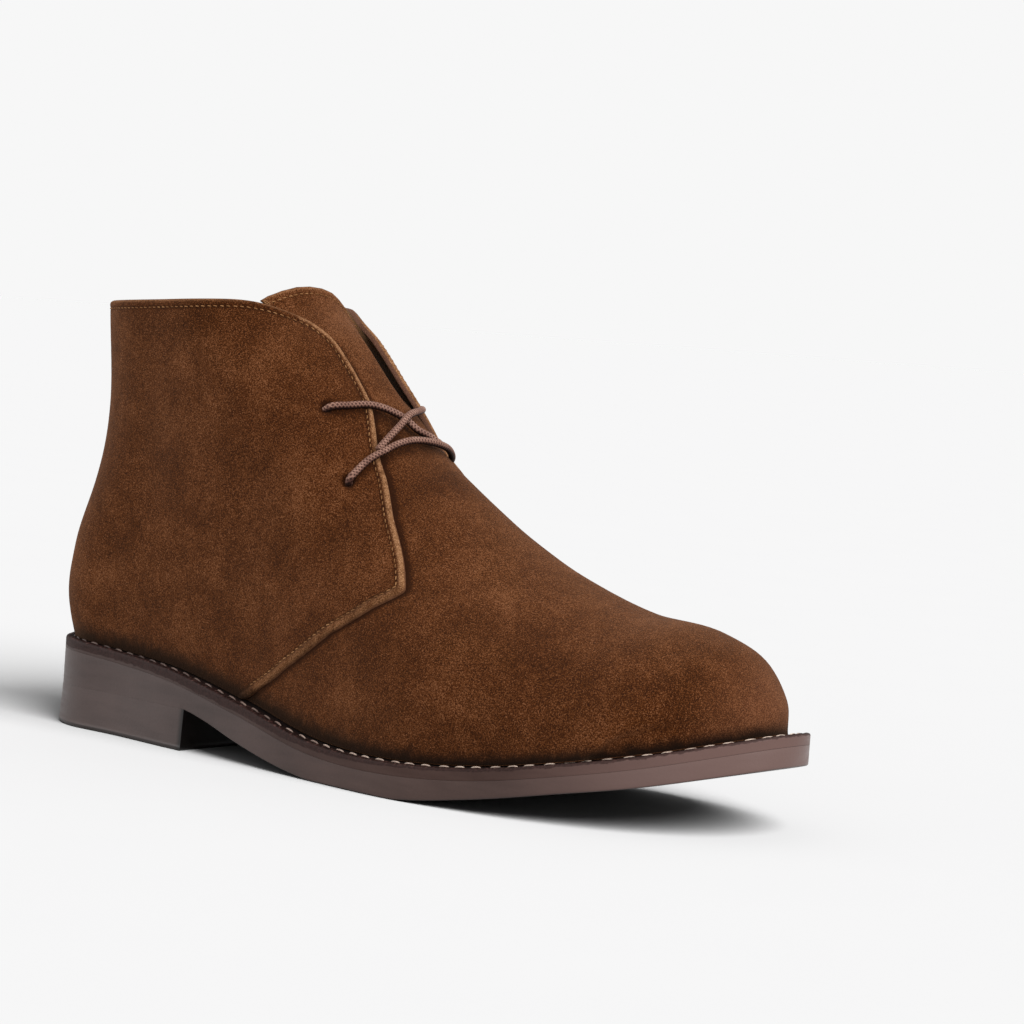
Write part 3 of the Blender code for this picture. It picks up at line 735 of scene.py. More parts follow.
def thread_material():
    m = Nodes("thread")
    ply = m.noise(0.22, 2.0, 0.6)
    part = m.noise(6.0, 2.0, 0.5)
    level = m.math("MULTIPLY_ADD", m.math("SUBTRACT", ply, 0.5), 0.8, part)
    colour = m.ramp(level, [(0.15, (0.075, 0.032, 0.012)), (0.5, (0.150, 0.066, 0.024)), (0.9, (0.38, 0.200, 0.088))])
    return m.done(colour, 0.75, m.bump(ply, 0.08, 0.7), Specular_IOR_Level=0.08)


def welt_thread_material():
    m = Nodes("welt_thread")
    ply = m.noise(0.3, 2.0, 0.6)
    dirt = m.noise(9.0, 3.0, 0.6)
    front = m.attribute("front")
    level = m.math("MULTIPLY_ADD", m.math("SUBTRACT", ply, 0.5), 0.5, dirt)
    level = m.math("MULTIPLY_ADD", front, 0.46, m.math("SUBTRACT", level, 0.36))
    colour = m.ramp(level, [(0.05, (0.040, 0.021, 0.017)), (0.40, (0.17, 0.110, 0.088)), (0.85, (0.58, 0.46, 0.37))])
    return m.done(colour, 0.55, m.bump(ply, 0.10, 0.7))


def lace_material():
    m = Nodes("lace")
    groove = m.attribute("groove")
    fibre = m.noise(0.25, 2.0, 0.6)
    part = m.noise(5.0, 2.0, 0.5)
    level = m.math("MULTIPLY_ADD", m.math("SUBTRACT", fibre, 0.5), 0.6, m.math("MULTIPLY", groove, 0.8))
    level = m.math("MULTIPLY_ADD", m.math("SUBTRACT", part, 0.5), 0.45, level)
    # painted shade: the lower side of the cord is darkened
    level = m.math("MULTIPLY_ADD", m.attribute("low"), -0.75, m.math("ADD", level, 0.06))
    colour = m.ramp(level, [(0.0, (0.0080, 0.0024, 0.0016)), (0.45, (0.064, 0.0265, 0.0180)), (0.75, (0.180, 0.0940, 0.0680)), (1.0, (0.330, 0.205, 0.155))])
    return m.done(colour, m.span(fibre, 0.2, 0.8, 0.5, 0.7), m.bump(fibre, 0.06, 0.6), Specular_IOR_Level=0.12)


def sole_edge_nodes(name, base, dark):
    """Burnished edge: streaks along the edge, a little polish, faint dents, and a painted highlight that makes the toe
    paler.
    """
    m = Nodes(name)
    streak = m.noise(9.0, 3.0, 0.55, 0.0, m.coords((0.35, 0.35, 2.6)))
    grain = m.noise(1.1, 3.0, 0.6)
    patch = m.noise(22.0, 2.0, 0.5)
    level = m.math("MULTIPLY_ADD", m.math("SUBTRACT", streak, 0.5), 0.8, 0.5)
    level = m.math("MULTIPLY_ADD", m.math("SUBTRACT", patch, 0.5), 0.8, level)
    level = m.math("MULTIPLY_ADD", m.math("SUBTRACT", grain, 0.5), 0.30, level)
    colour = m.ramp(level, [(0.1, dark), (0.9, base)])
    colour = m.mix(m.attribute("seat"), colour, m.ramp(level, [(0.1, (0.033, 0.0215, 0.0190)), (0.9, (0.058, 0.0385, 0.0345))]))
    # painted highlight: paler round the toe and in a streak at the back of the heel
    toe = m.math("MULTIPLY", m.attribute("front"), 0.8)
    colour = m.mix(toe, colour, (0.118, 0.070, 0.061))
    rough = m.span(streak, 0.2, 0.8, 0.32, 0.50)
    normal = m.bump(grain, 0.10, 0.5, m.bump(patch, 0.9, 0.35))
    return m, colour, rough, normal


def sole_material():
    m, colour, rough, normal = sole_edge_nodes("sole_leather", (0.052, 0.0290, 0.0235), (0.028, 0.0145, 0.0115))
    # painted shade: the whole underside is darkened almost to black, for the shadow under the arch
    under = m.attribute("under")
    colour = m.mix(under, colour, (0.0125, 0.0080, 0.0068))
    return m.done(colour, rough, normal, Specular_IOR_Level=0.22, Coat_Weight=0.06, Coat_Roughness=0.25)


def heel_material():
    m, colour, rough, normal = sole_edge_nodes("heel_leather", (0.058, 0.0385, 0.0345), (0.033, 0.0215, 0.0190))
    lift = m.attribute("lift")
    colour = m.mix(m.math("MULTIPLY", lift, 0.9), colour, (0.012, 0.008, 0.0066))
    # painted shade on the breast, almost black
    colour = m.mix(m.attribute("breast"), colour, (0.0040, 0.0026, 0.0022))
    return m.done(colour, rough, normal, Specular_IOR_Level=0.22, Coat_Weight=0.07, Coat_Roughness=0.22)


def welt_material():
    m, colour, rough, normal = sole_edge_nodes("welt", (0.051, 0.0285, 0.0235), (0.028, 0.0145, 0.0115))
    top = m.attribute("top")
    rag = m.noise(1.6, 3.0, 0.65, 0.4)
    scuff = m.noise(0.8, 2.0, 0.6)
    ragged = m.ramp(m.math("MULTIPLY_ADD", m.math("SUBTRACT", scuff, 0.5), 0.6, rag),
                    [(0.30, (0.0060, 0.0024, 0.0016)), (0.55, (0.019, 0.0070, 0.0052)), (0.80, (0.085, 0.040, 0.034))])
    # painted shade: near black where the welt runs in under the upper
    inside = m.attribute("inside")
    ragged = m.mix(inside, ragged, (0.005, 0.0024, 0.0018))
    chip = m.noise(3.4, 4.0, 0.65, 0.5, m.coords((1.0, 1.0, 1.7)))
    band = m.math("MULTIPLY_ADD", m.math("SUBTRACT", chip, 0.5), 2.2, m.attribute("band"))
    worn = m.math("MULTIPLY", m.span(band, 0.30, 0.80), m.span(chip, 0.25, 0.55, 0.94, 0.70))
    colour = m.mix(worn, colour, m.ramp(scuff, [(0.35, (0.0085, 0.0030, 0.0024)), (0.70, (0.0260, 0.0105, 0.0090))]))
    colour = m.mix(top, colour, ragged)
    normal = m.bump(m.math("MULTIPLY", rag, top), 0.5, 0.8, normal)
    rough = m.math("MULTIPLY_ADD", m.math("MAXIMUM", worn, top), 0.30, rough)
    return m.done(colour, rough, normal, Specular_IOR_Level=0.10)


def insole_material():
    m = Nodes("insole_leather")
    pebble = m.noise(0.7, 3.0, 0.6)
    patch = m.noise(24.0, 3.0, 0.5)
    level = m.math("MULTIPLY_ADD", m.math("SUBTRACT", pebble, 0.5), 0.3, patch)
    colour = m.ramp(level, [(0.2, (0.25, 0.132, 0.058)), (0.8, (0.40, 0.225, 0.105))])
    return m.done(colour, 0.55, m.bump(pebble, 0.08, 0.6))


def floor_material(pale):
    m = Nodes("floor")
    speck = m.noise(60.0, 2.0, 0.5)
    colour = m.ramp(speck, [(0.0, (pale * 0.994, pale * 0.994, pale * 0.996)), (1.0, (pale * 1.006, pale * 1.006, pale * 1.004))])
    return m.done(colour, 1.0, Specular_IOR_Level=0.0)


MAT_SUEDE, MAT_EDGE, MAT_LINING = suede_material(), edge_material(), lining_material()
MAT_THREAD, MAT_WELT_THREAD, MAT_LACE = thread_material(), welt_thread_material(), lace_material()
MAT_SOLE, MAT_HEEL, MAT_WELT, MAT_INSOLE = sole_material(), heel_material(), welt_material(), insole_material()


# ---- shells ----------------------------------------------------------------
# rim from the outer face round the cut edge to the inner face: share of the thickness, reach
RIM = [(0.06, 0.16), (0.20, 0.30), (0.50, 0.36), (0.80, 0.30), (0.95, 0.14)]


def shell(name, outer, inner, attributes, replaces=()):
    """Closed sheet of leather between two grids, with a cut edge all round."""
    rows, cols = outer.shape[:2]
    n = rows * cols
    loop = ([(0, i) for i in range(cols)] + [(a, cols - 1) for a in range(1, rows)]
            + [(rows - 1, i) for i in range(cols - 2, -1, -1)] + [(a, 0) for a in range(rows - 2, 0, -1)])
    ra, ri = np.array([p[0] for p in loop]), np.array([p[1] for p in loop])
    # direction that leaves the sheet at each point of the border
    da = np.where(ra == 0, 1, np.where(ra == rows - 1, -1, 0))
    di = np.where(ri == 0, 1, np.where(ri == cols - 1, -1, 0))
    away = unit(outer[ra, ri] - outer[ra + da, ri + di])
    o, i = outer[ra, ri], inner[ra, ri]
    rim = [o * (1 - t) + i * t + away * reach for t, reach in RIM]
    points = np.concatenate([outer.reshape(-1, 3), inner.reshape(-1, 3)] + rim)
    faces = grid_faces(rows, cols)
    slots = [0] * len(faces)
    faces += grid_faces(rows, cols, n, flip=True)
    slots += [2] * (len(faces) - len(slots))
    m = len(loop)
    first = ra * cols + ri
    rings = [first] + [2 * n + k * m + np.arange(m) for k in range(len(RIM))] + [first + n]
    for a, b in zip(rings[:-1], rings[1:]):
        for k in range(m):
            j = (k + 1) % m
            faces.append((a[k], b[k], b[j], a[j]))
            slots.append(1)
    values = {}
    for key, grid in attributes.items():
        flat = grid.reshape(-1)
        values[key] = np.concatenate([flat, flat] + [grid[ra, ri]] * len(RIM))
    ob = mesh_piece(name, points, faces, [MAT_SUEDE, MAT_EDGE, MAT_LINING], slots, values, sharp=0.9)
    if replaces:
        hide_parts(*replaces)
    return ob


class Skin:
    """Surface to lay threads on, with normals that point out of the boot."""

    def __init__(self, grid, normals):
        faces = grid_faces(*grid.shape[:2])
        self.tree = BVHTree.FromPolygons([Vector(p) for p in grid.reshape(-1, 3)], faces)
        flat_normals = normals.reshape(-1, 3)
        self.normals = np.array([flat_normals[f[0]] for f in faces])


def snap(skin, p):
    hit = skin.tree.find_nearest(Vector(p))
    return np.array(hit[0]), self_normal(skin, hit[2])


def self_normal(skin, k):
    return skin.normals[k]


# ---- quarters --------------------------------------------------------------
Q_ROWS = spaced([(0.0, 0.06, 10), (0.06, 0.34, 38), (0.34, 0.41, 16), (0.41, 0.90, 56),
                 (0.90, 0.97, 14), (0.97, 1.0, 12)])
# share of the row: evenly along it, finer towards the front edge
T_COLS = spaced([(0.0, 0.015, 2), (0.015, 0.86, 74), (0.86, 0.96, 16), (0.96, 1.0, 16)])

BEND_FROM = 0.80        # rows above this station bend down to the front edge, so that the top row is the whole rim
BEND_TO = 0.9625
BEND_GAP = 35.0
BEND_POWER = 2.4


def quarter_row(r, side):
    """Points of one row of the quarter, from the back seam to its front edge, with their shares of the ring."""
    if r <= BEND_FROM:
        row, end = full_row(r, side), edge_h(r, side)
    else:
        q_end = BEND_FROM + (r - BEND_FROM) * (BEND_TO - BEND_FROM) / (1 - BEND_FROM)
        gap = float(through(column(EDGE_HIGH, 0), column(EDGE_HIGH, 1), q_end))
        k = len(H_FINE) // 2
        row = full_row(r, side)
        for turn in range(3):
            off = np.abs(row[:, 1] - ridge_shift(row[:, 0]))
            u = np.clip((BEND_GAP - off) / (BEND_GAP - gap), 0, 1) * (H_FINE > 0.5)
            row = full_row(r + (q_end - r) * u ** BEND_POWER, side)
        off = np.abs(row[:, 1] - ridge_shift(row[:, 0]))
        end = float(np.interp(-gap, -off[k:], H_FINE[k:]))
    s = arc(row)
    where = T_COLS * float(np.interp(end, H_FINE, s))
    return at_arc(row, s, where), np.interp(where, s, H_FINE)




def on_upper(q, off, above):
    """Point above the upper at station q, off from the ridge."""
    side = -1 if off < 0 else 1
    p = half_ring(q, side, max(abs(off), 1.5), 2)[-1]
    nrm = outward(np.array([p[0]]), np.array([p[2]]), side)[0]
    if abs(off) < 1.5:
        other = half_ring(q, -side, 1.5, 2)[-1]
        back = outward(np.array([other[0]]), np.array([other[2]]), -side)[0]
        t = 0.5 + abs(off) / 3.0
        p = p * t + other * (1 - t)
        nrm = unit(nrm * t + back * (1 - t))
    return p + nrm * above + np.array([0, 0, GAP])


def hole_points(side_name):
    side = SIDES[side_name]
    out = []
    for q, gap in EYELETS[side_name]:
        row = full_row(q, side)
        off = np.abs(row[:, 1] - ridge_shift(row[:, 0]))
        k = len(H_FINE) // 2
        h = float(np.interp(-gap, -off[k:], H_FINE[k:]))
        s = arc(row)
        out.append(at_arc(row, np.interp(H_FINE, H_FINE, H_FINE), [h])[0])
    return np.array(out)


# lace path set a little lower, for the painted shadow the lace casts on the suede below it
LACE_LINE = np.concatenate([a_ + (b_ - a_) * np.linspace(0, 1, 14)[:, None] for rows_ in STRANDS.values()
                            for a_, b_ in zip([on_upper(*r[:2], 0.3) for r in rows_[:-1]], [on_upper(*r[:2], 0.3) for r in rows_[1:]])])
LACE_LINE = LACE_LINE + (0.3, 0.0, -1.7)
QUARTER_BVH = {}
RIM_LINES = {}
for side_name, side in SIDES.items():
    both = [quarter_row(q, side) for q in Q_ROWS]
    base, share = np.array([b[0] for b in both]), np.array([b[1] for b in both])
    RIM_LINES[side_name] = np.concatenate([base[-1], base[::-1, -1][1:]])
    normal = grid_normals(base) * -side
    if (normal[:, :, 1] * side).mean() < 0:
        normal = -normal
    exact = outward(base[:, :, 0].ravel(), base[:, :, 2].ravel() - GAP, side).reshape(normal.shape)
    w = smooth(0.35, 0.55, share)[:, :, None]
    normal = unit(normal * (1 - w) + exact * w)
    rows, cols = base.shape[:2]
    flat = base.reshape(-1, 3)
    from_edge = nearest_distance(flat, base[:, -1]).reshape(rows, cols)
    from_collar = nearest_distance(flat, base[-1]).reshape(rows, cols)
    back = arc(base[rows // 2])
    from_back = np.abs(flat[:, 1]).reshape(rows, cols)
    height = relief(flat, side_name).reshape(rows, cols) * smooth(1, 12, np.minimum(from_edge, from_collar))
    # stitch channels, with the leather swelling a little on both sides of the thread
    border = np.minimum(from_edge, from_collar)
    height = height - 0.16 * np.exp(-((border - FACING_STITCH) / 0.5) ** 2)
    height = height + 0.14 * np.exp(-((border - 1.3) / 0.8) ** 2)
    height = height - 0.35 * np.exp(-(from_back / 0.8) ** 2)
    hole = np.zeros((rows, cols))
    for centre in hole_points(side_name):
        d = np.sqrt(((flat - centre) ** 2).sum(1)).reshape(rows, cols)
        hole = np.maximum(hole, np.exp(-(d / 2.0) ** 6))
        height = height - 1.2 * np.exp(-(d / 1.8) ** 6) + 0.12 * np.exp(-((d - 3.0) / 1.2) ** 2)
    near = np.minimum(from_edge, from_collar)
    height = height - 0.70 * (1 - np.sqrt(1 - np.clip(1 - near / 1.6, 0, 1) ** 2))
    outer = base + normal * (QUARTER_OUT + 0.12 + height)[:, :, None]
    inner = base + normal * QUARTER_IN
    # height over the welt, which sets the painted shade near the welt
    foot = (base[:, :, 2] - sole_top(base[:, :, 0])) / np.interp(base[:, :, 0], (0, 150, 210), (1.45, 1.45, 0.95))
    tone = nap_tone(flat, flat[:, 1]).reshape(rows, cols)
    # painted shadow under the lace, painted shade in the stitch channel inside the edges and in the eyelet holes; the
    # back seam is made darker too
    shade = nearest_distance(flat, LACE_LINE).reshape(rows, cols)
    painted_shade_and_tone = -1.6 * np.exp(-(shade / 1.6) ** 2) - 1.5 * np.exp(-((border - FACING_STITCH - 0.1) / 0.55) ** 2) - 5.0 * hole - 0.8 * np.exp(-(from_back / 0.7) ** 2)
    # cut edges: paler worn fibres, partly a painted highlight, strongest on the facing above the corner, weaker along
    # the lower seam, thin along the collar
    high = smooth(CORNER_Q - 0.01, CORNER_Q + 0.02, Q_ROWS)[:, None] * np.ones((1, cols))
    cut = 1.0 * (1 - smooth(1.2, 2.3, from_edge)) * high + 0.42 * (1 - smooth(0.5, 4.2, from_edge)) * (1 - high)
    cut = np.maximum(cut, 0.45 * (1 - smooth(0.4, 1.2, from_collar)))
    quads = outer if side < 0 else outer[:, ::-1]
    # painted shade on the lining beside the front edge, from the throat up, weaker near the collar
    gap_shade = (1 - smooth(18, 28, from_edge)) * (smooth(0.60, 0.70, Q_ROWS) * (1 - 0.75 * smooth(0.90, 0.98, Q_ROWS)))[:, None]
    parts = {"foot": foot, "tone": tone, "painted_shade_and_tone": painted_shade_and_tone, "cut": cut, "gap_shade": gap_shade, "toe_highlight": np.zeros_like(foot),
             "inner_edge_shade": np.full_like(foot, float(side > 0))}
    if side > 0:
        parts = {k: v[:, ::-1] for k, v in parts.items()}
        shell("quarter_" + side_name, outer[:, ::-1], inner[:, ::-1], parts)
    else:
        shell("quarter_" + side_name, outer, inner, parts, ("upper",))
    QUARTER_BVH[side_name] = Skin(outer, normal)


# ---- vamp and tongue in one piece ------------------------------------------
V_ROWS = spaced([(0.0, 0.05, 8), (0.05, 0.66, 74), (0.66, 0.96, 44), (0.96, 1.04, 16)])
HALF = 78
# rounded top of the tongue: distance from the ridge, outer side below zero, and station
TONGUE_TOP = [(-46, 0.925), (-38, 0.945), (-32, 0.972), (-27, 0.995), (-23, 1.008), (-18, 1.0175), (-12, 1.0245),
              (-6, 1.0265), (0, 1.0250), (6, 1.0195), (10, 1.011), (14, 0.997), (20, 0.975), (28, 0.950), (46, 0.925)]


def vamp_grid():
    grid, off, past, sidev = [], [], [], []
    for q in V_ROWS:
        halves = []
        for side_name, side in SIDES.items():
            row = full_row(q, side)
            s = arc(row)
            hq = edge_h(min(q, 1.0), side)
            s_edge = float(np.interp(hq, H_FINE, s))
            over = float(np.interp(q, (0.0, 0.5, 0.70, 0.80, 0.9275, 0.9625, 0.985, 0.994, 1.0, 1.04), (8, 8, 9, 11.5, 13, 10.5, 6.2, 2.2, -4.6, -4.6)))
            f = np.linspace(0, 1, HALF + 1)
            where = (s_edge - over) + (s[-1] - (s_edge - over)) * f
            pts = at_arc(row, s, where)
            halves.append((pts, where - s_edge))
        (a, da), (b, db) = halves
        grid.append(np.concatenate([a, b[::-1][1:]]))
        past.append(np.concatenate([da, db[::-1][1:]]))
        sidev.append(np.concatenate([-(s2 := np.linspace(1, 0, HALF + 1)), s2[::-1][1:]]))
    return np.array(grid), np.array(past), np.array(sidev)


base, past, side_share = vamp_grid()
normal = grid_normals(base)
if normal[10, HALF, 0] < 0:
    normal = -normal
rows, cols = base.shape[:2]
q_grid = np.repeat(V_ROWS[:, None], cols, 1)
gap_grid = base[:, :, 1] - ridge_shift(base[:, :, 0])
deep = smooth(0.64, 0.80, q_grid)
drop = VAMP_DROP * np.exp(-np.clip(past, 0, None) / 14.0) * (1 - deep) + TONGUE_DROP * deep
# the tongue falls away from the inner quarter and leaves a dark gap there
drop = drop + 3.4 * smooth(3, 13, gap_grid) * smooth(0.77, 0.87, q_grid) * (1 - smooth(0.90, 0.985, q_grid) * 0.92)
flat = base.reshape(-1, 3)
height = np.where(flat[:, 1] < 3, relief(flat, "outer"), relief(flat, "inner")).reshape(rows, cols)
blend_side = smooth(-12, 16, gap_grid)
height = (relief(flat, "outer").reshape(rows, cols) * (1 - blend_side) + relief(flat, "inner").reshape(rows, cols) * blend_side)
height = height * smooth(2, 12, past) * (1 - deep)
surface = base + normal * (height - drop)[:, :, None]
# rounded top of the tongue: the rows are drawn out towards it
top_row = int(np.argmin(np.abs(V_ROWS - 1.0)))
limit = np.interp(gap_grid[top_row], column(TONGUE_TOP, 0), column(TONGUE_TOP, 1))
stretch = np.clip((V_ROWS - 0.80) / (V_ROWS[-1] - 0.80), 0, 1)
target = np.where(V_ROWS[:, None] < 0.80, V_ROWS[:, None], 0.80 + stretch[:, None] * (limit[None, :] - 0.80))
moved = np.empty_like(surface)
moved_n = np.empty_like(normal)
for c in range(cols):
    for k in range(3):
        moved[:, c, k] = np.interp(target[:, c], V_ROWS, surface[:, c, k])
        moved_n[:, c, k] = np.interp(target[:, c], V_ROWS, normal[:, c, k])
surface, normal = moved, unit(moved_n)
rows_top = surface[-1]
flat = surface.reshape(-1, 3)
from_top = nearest_distance(flat, rows_top).reshape(rows, cols)
dip = -0.18 * np.exp(-((from_top - COLLAR_STITCH) / 0.45) ** 2) + 0.10 * np.exp(-((from_top - 1.1) / 0.7) ** 2)
outer = surface + normal * dip[:, :, None]
inner = surface - normal * VAMP_T
# height over the welt, which sets the painted shade near the welt
foot = np.clip((flat[:, 2] - sole_top(flat[:, 0])) / np.interp(flat[:, 0], (0, 150, 210), (1.45, 1.45, 0.95)), 0, None).reshape(rows, cols)
tone = nap_tone(flat, gap_grid.reshape(-1)).reshape(rows, cols)
# painted shade: deep under the quarters' edge the suede is darkened, and just in front of it a thin painted shadow;
# the top edge is made paler
painted_shade_and_tone = -2.4 * np.exp(-(np.clip(past - 0.9, 0, None) / 1.5) ** 2) * (past > -3) + 0.5 * np.exp(-(from_top / 1.2) ** 2)
# the tongue is made a little lighter; painted shade in the channel below the collar stitches
painted_shade_and_tone = painted_shade_and_tone + 0.45 * smooth(0.62, 0.80, q_grid) - 0.9 * np.exp(-((from_top - COLLAR_STITCH - 0.4) / 0.45) ** 2)
# painted highlight on the toe tip
toe_highlight = smooth(280, 304, base[:, :, 0]) * 0.35
# painted shadow under the lace
shade = nearest_distance(flat, LACE_LINE).reshape(rows, cols)
painted_shade_and_tone = painted_shade_and_tone - 1.5 * np.exp(-(shade / 2.4) ** 2)
# paler worn fibres along the top edge, partly a painted highlight
cut = 0.6 * (1 - smooth(0.4, 1.1, from_top))
VAMP_GRID = outer
shell("vamp_tongue", outer, inner, {"foot": foot, "tone": tone, "painted_shade_and_tone": painted_shade_and_tone, "cut": cut, "gap_shade": np.zeros_like(cut), "toe_highlight": toe_highlight}, ("tongue",))
VAMP_BVH = Skin(outer, normal)


# ---- stitches --------------------------------------------------------------
def stitch_mesh(starts, ends, normals, radius, rise, sink, rings=7, sides=7):
    """Short threads between pairs of points, each bowed over the leather."""
    points, faces = [], []
    for a, b, n in zip(starts, ends, normals):
        along = unit(b - a)
        across = unit(np.cross(n, along))
        first = len(points)
        for r in range(rings):
            t = r / (rings - 1)
            bow = math.sin(math.pi * t)
            c = a + (b - a) * t + n * (rise * bow ** 0.4 - sink * (1 - bow) ** 2)
            size = radius * (0.45 + 0.55 * bow ** 0.35)
            for k in range(sides):
                w = 2 * math.pi * k / sides
                points.append(c + across * (size * math.cos(w)) + n * (size * 0.8 * math.sin(w)))
        for r in range(rings - 1):
            for k in range(sides):
                j = (k + 1) % sides
                faces.append((first + r * sides + k, first + r * sides + j,
                              first + (r + 1) * sides + j, first + (r + 1) * sides + k))
        faces.append(tuple(first + k for k in reversed(range(sides))))
        faces.append(tuple(first + (rings - 1) * sides + k for k in range(sides)))
    return points, faces


def offset_line(line, bvh, distance, toward):
    """Line moved across the surface by distance, towards the grid of points given."""
    out = []
    tangent = unit(np.gradient(line, axis=0))
    for p, t, q in zip(line, tangent, toward):
        n = snap(bvh, p)[1]
        across = unit(np.cross(n, t))
        if np.dot(across, q - p) < 0:
            across = -across
        out.append(snap(bvh, p + across * distance)[0])
    return np.array(out)


def stitch_row(line, bvh, pitch, length, side=0, skew=0.0):
    s = arc(line)
    count = int((s[-1] - 1.0) // pitch)
    starts, ends, normals = [], [], []
    for k in range(count):
        m = 0.8 + pitch * (k + 0.5) + 0.10 * math.sin(k * 2.7 + side)
        a = at_arc(line, s, [m - length / 2])[0]
        b = at_arc(line, s, [m + length / 2])[0]
        pa, na = snap(bvh, a)
        pb, nb = snap(bvh, b)
        n = unit(na + nb)
        across = unit(np.cross(n, pb - pa))
        starts.append(pa + across * skew)
        ends.append(pb - across * skew)
        normals.append(n)
    return starts, ends, normals


threads = ([], [], [])
for side_name, side in SIDES.items():
    bvh = QUARTER_BVH[side_name]
    rim_line = RIM_LINES[side_name]
    rim_line = rim_line[rim_line[:, 2] - sole_top(rim_line[:, 0]) > 3.0]
    s = arc(rim_line)
    rim_line = at_arc(rim_line, s, np.arange(1.0, s[-1], 0.8))
    middle = np.tile([[62.0, side * 36.0, 90.0]], (len(rim_line), 1))
    line = offset_line(rim_line, bvh, FACING_STITCH, middle)
    keep = nearest_distance(line, rim_line) > FACING_STITCH - 0.12
    a, b, n = stitch_row(line[keep], bvh, UPPER_PITCH, UPPER_STITCH, side, 0.12)
    for bag, more in zip(threads, (a, b, n)):
        bag.extend(more)
top_line = VAMP_GRID[-1][6:-6]
under = top_line - np.array([0, 0, 40.0])
line = offset_line(top_line, VAMP_BVH, COLLAR_STITCH, under)
a, b, n = stitch_row(line, VAMP_BVH, UPPER_PITCH, UPPER_STITCH, 3, 0.10)
for bag, more in zip(threads, (a, b, n)):
    bag.extend(more)
pts, faces = stitch_mesh(*threads, 0.22, 0.17, 0.15)
ob = mesh_piece("upper_stitches", pts, faces, [MAT_THREAD])


# ---- lace ------------------------------------------------------------------
def braided(name, path, radius, sides=20, step=0.24, lay=2.6):
    """Round braided cord along a path: crossing helices stand out of it."""
    s = arc(path)
    count = int(s[-1] / step)
    t = np.linspace(0, s[-1], count + 1)
    centre = np.stack([through(s, path[:, k], t) for k in range(3)], 1)
    tangent = unit(np.gradient(centre, axis=0))
    ref = np.array([0.0, 0.0, 1.0])
    points, groove, low = [], [], []
    for p, d, m in zip(centre, tangent, t):
        a = unit(np.cross(d, ref))
        b = np.cross(a, d)
        ref = b
        for k in range(sides):
            w = 2 * math.pi * k / sides
            up = math.cos(4 * w + 2 * math.pi * m / lay * 2)
            down = math.cos(4 * w - 2 * math.pi * m / lay * 2)
            strand = 0.5 + 0.5 * max(up, down)
            r = radius * (0.89 + 0.14 * strand)
            around = a * math.cos(w) + b * math.sin(w)
            points.append(p + around * r)
            groove.append(strand)
            # share of painted shade on the lower side of the cord
            low.append(float(smooth(-0.05, 0.85, -around[2])))
    n = len(centre)
    faces = grid_faces(n, sides, closed=True)
    faces = [f[::-1] for f in faces]
    faces.append(tuple(range(sides)))
    faces.append(tuple((n - 1) * sides + k for k in reversed(range(sides))))
    return points, faces, groove, low


points, faces, groove, cord_underside_shade = [], [], [], []
for key, rows_ in STRANDS.items():
    # over the tongue the lace sinks a little, and it is drawn tight where it turns over to the inner side
    rows_ = [(q, off, up - 0.45 * float(smooth(-16, -6, off)) - 0.45 * float(smooth(2, 14, off)) - 0.35 * float(smooth(8, 15, off))) for q, off, up in rows_]
    path = [on_upper(*row) for row in rows_]
    (q0, off0, _), (qa, offa, _) = rows_[0], rows_[1]
    start = [on_upper(q0 + (q0 - qa) * k, off0 + (off0 - offa) * k, up) for k, up in ((0.36, -2.0), (0.16, 0.2))]
    path = start + path[0:]
    if key == "bar":
        q1, off1, _ = rows_[-1]
        path = path + [on_upper(q1, off1 * 1.03, 0.1), on_upper(q1, off1 * 1.045, -1.6)]
    path = np.array(path)
    s = arc(path)
    t = np.linspace(0, s[-1], 60)
    path = np.stack([through(s, path[:, k], t) for k in range(3)], 1)
    p, f, g, w = braided(key, path, LACE_R)
    cord_underside_shade += w
    faces += [tuple(k + len(points) for k in face) for face in f]
    points += list(p)
    groove += g
ob = mesh_piece("lace_braid", points, faces, [MAT_LACE], None, {"groove": groove, "low": cord_underside_shade})
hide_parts("lace")


# ---- welt, sole and heel ---------------------------------------------------
FINE_STEPS = 260


def swept(name, loops, materials, slots=None, attributes=None, cap=True, sharp=0.7, closed_ring=False):
    count = len(loops[0])
    faces = []
    n = len(loops)
    for a in range(n if closed_ring else n - 1):
        b = (a + 1) % n
        for i in range(count):
            j = (i + 1) % count
            faces.append((a * count + i, a * count + j, b * count + j, b * count + i))
    if cap and not closed_ring:
        half = count // 2
        top = (n - 1) * count
        for i in range(half):
            quad = [i, i + 1, (count - i - 1) % count, (count - i) % count]
            flat_ = list(dict.fromkeys(quad))
            if len(flat_) > 2:
                faces.append(tuple(reversed(flat_)))
                faces.append(tuple(top + k for k in flat_))
    return mesh_piece(name, np.concatenate(loops), faces, materials, slots, attributes, sharp)


def paler(points):
    """Share of the painted highlight at points: round the toe, and a little at the back of the heel."""
    x, y = points[:, 0], points[:, 1]
    return smooth(228, 300, x - 0.12 * y) + 0.35 * np.exp(-((y + 19.0) / 4.0) ** 2) * (x < 20)


def seat_share(points):
    """Share of the greyer burnish over the heel."""
    return 1 - smooth(86, 170, points[:, 0])


def ripple(x, y, a, b, c):
    """Small irregular waves along the edge."""
    return (np.sin(x * a + y * 0.7 * a) + 0.7 * np.sin(x * b - y * b * 0.6 + 1.3) + 0.5 * np.sin(x * c + y * c * 0.9 + 2.1)) / 2.2


def loop_at(inset, height, welt=0.0, steps=FINE_STEPS):
    x, y = plan_loop(welt, inset, steps)
    z = height(x, y) if callable(height) else np.full_like(x, height)
    return np.stack([x, y, z], 1)


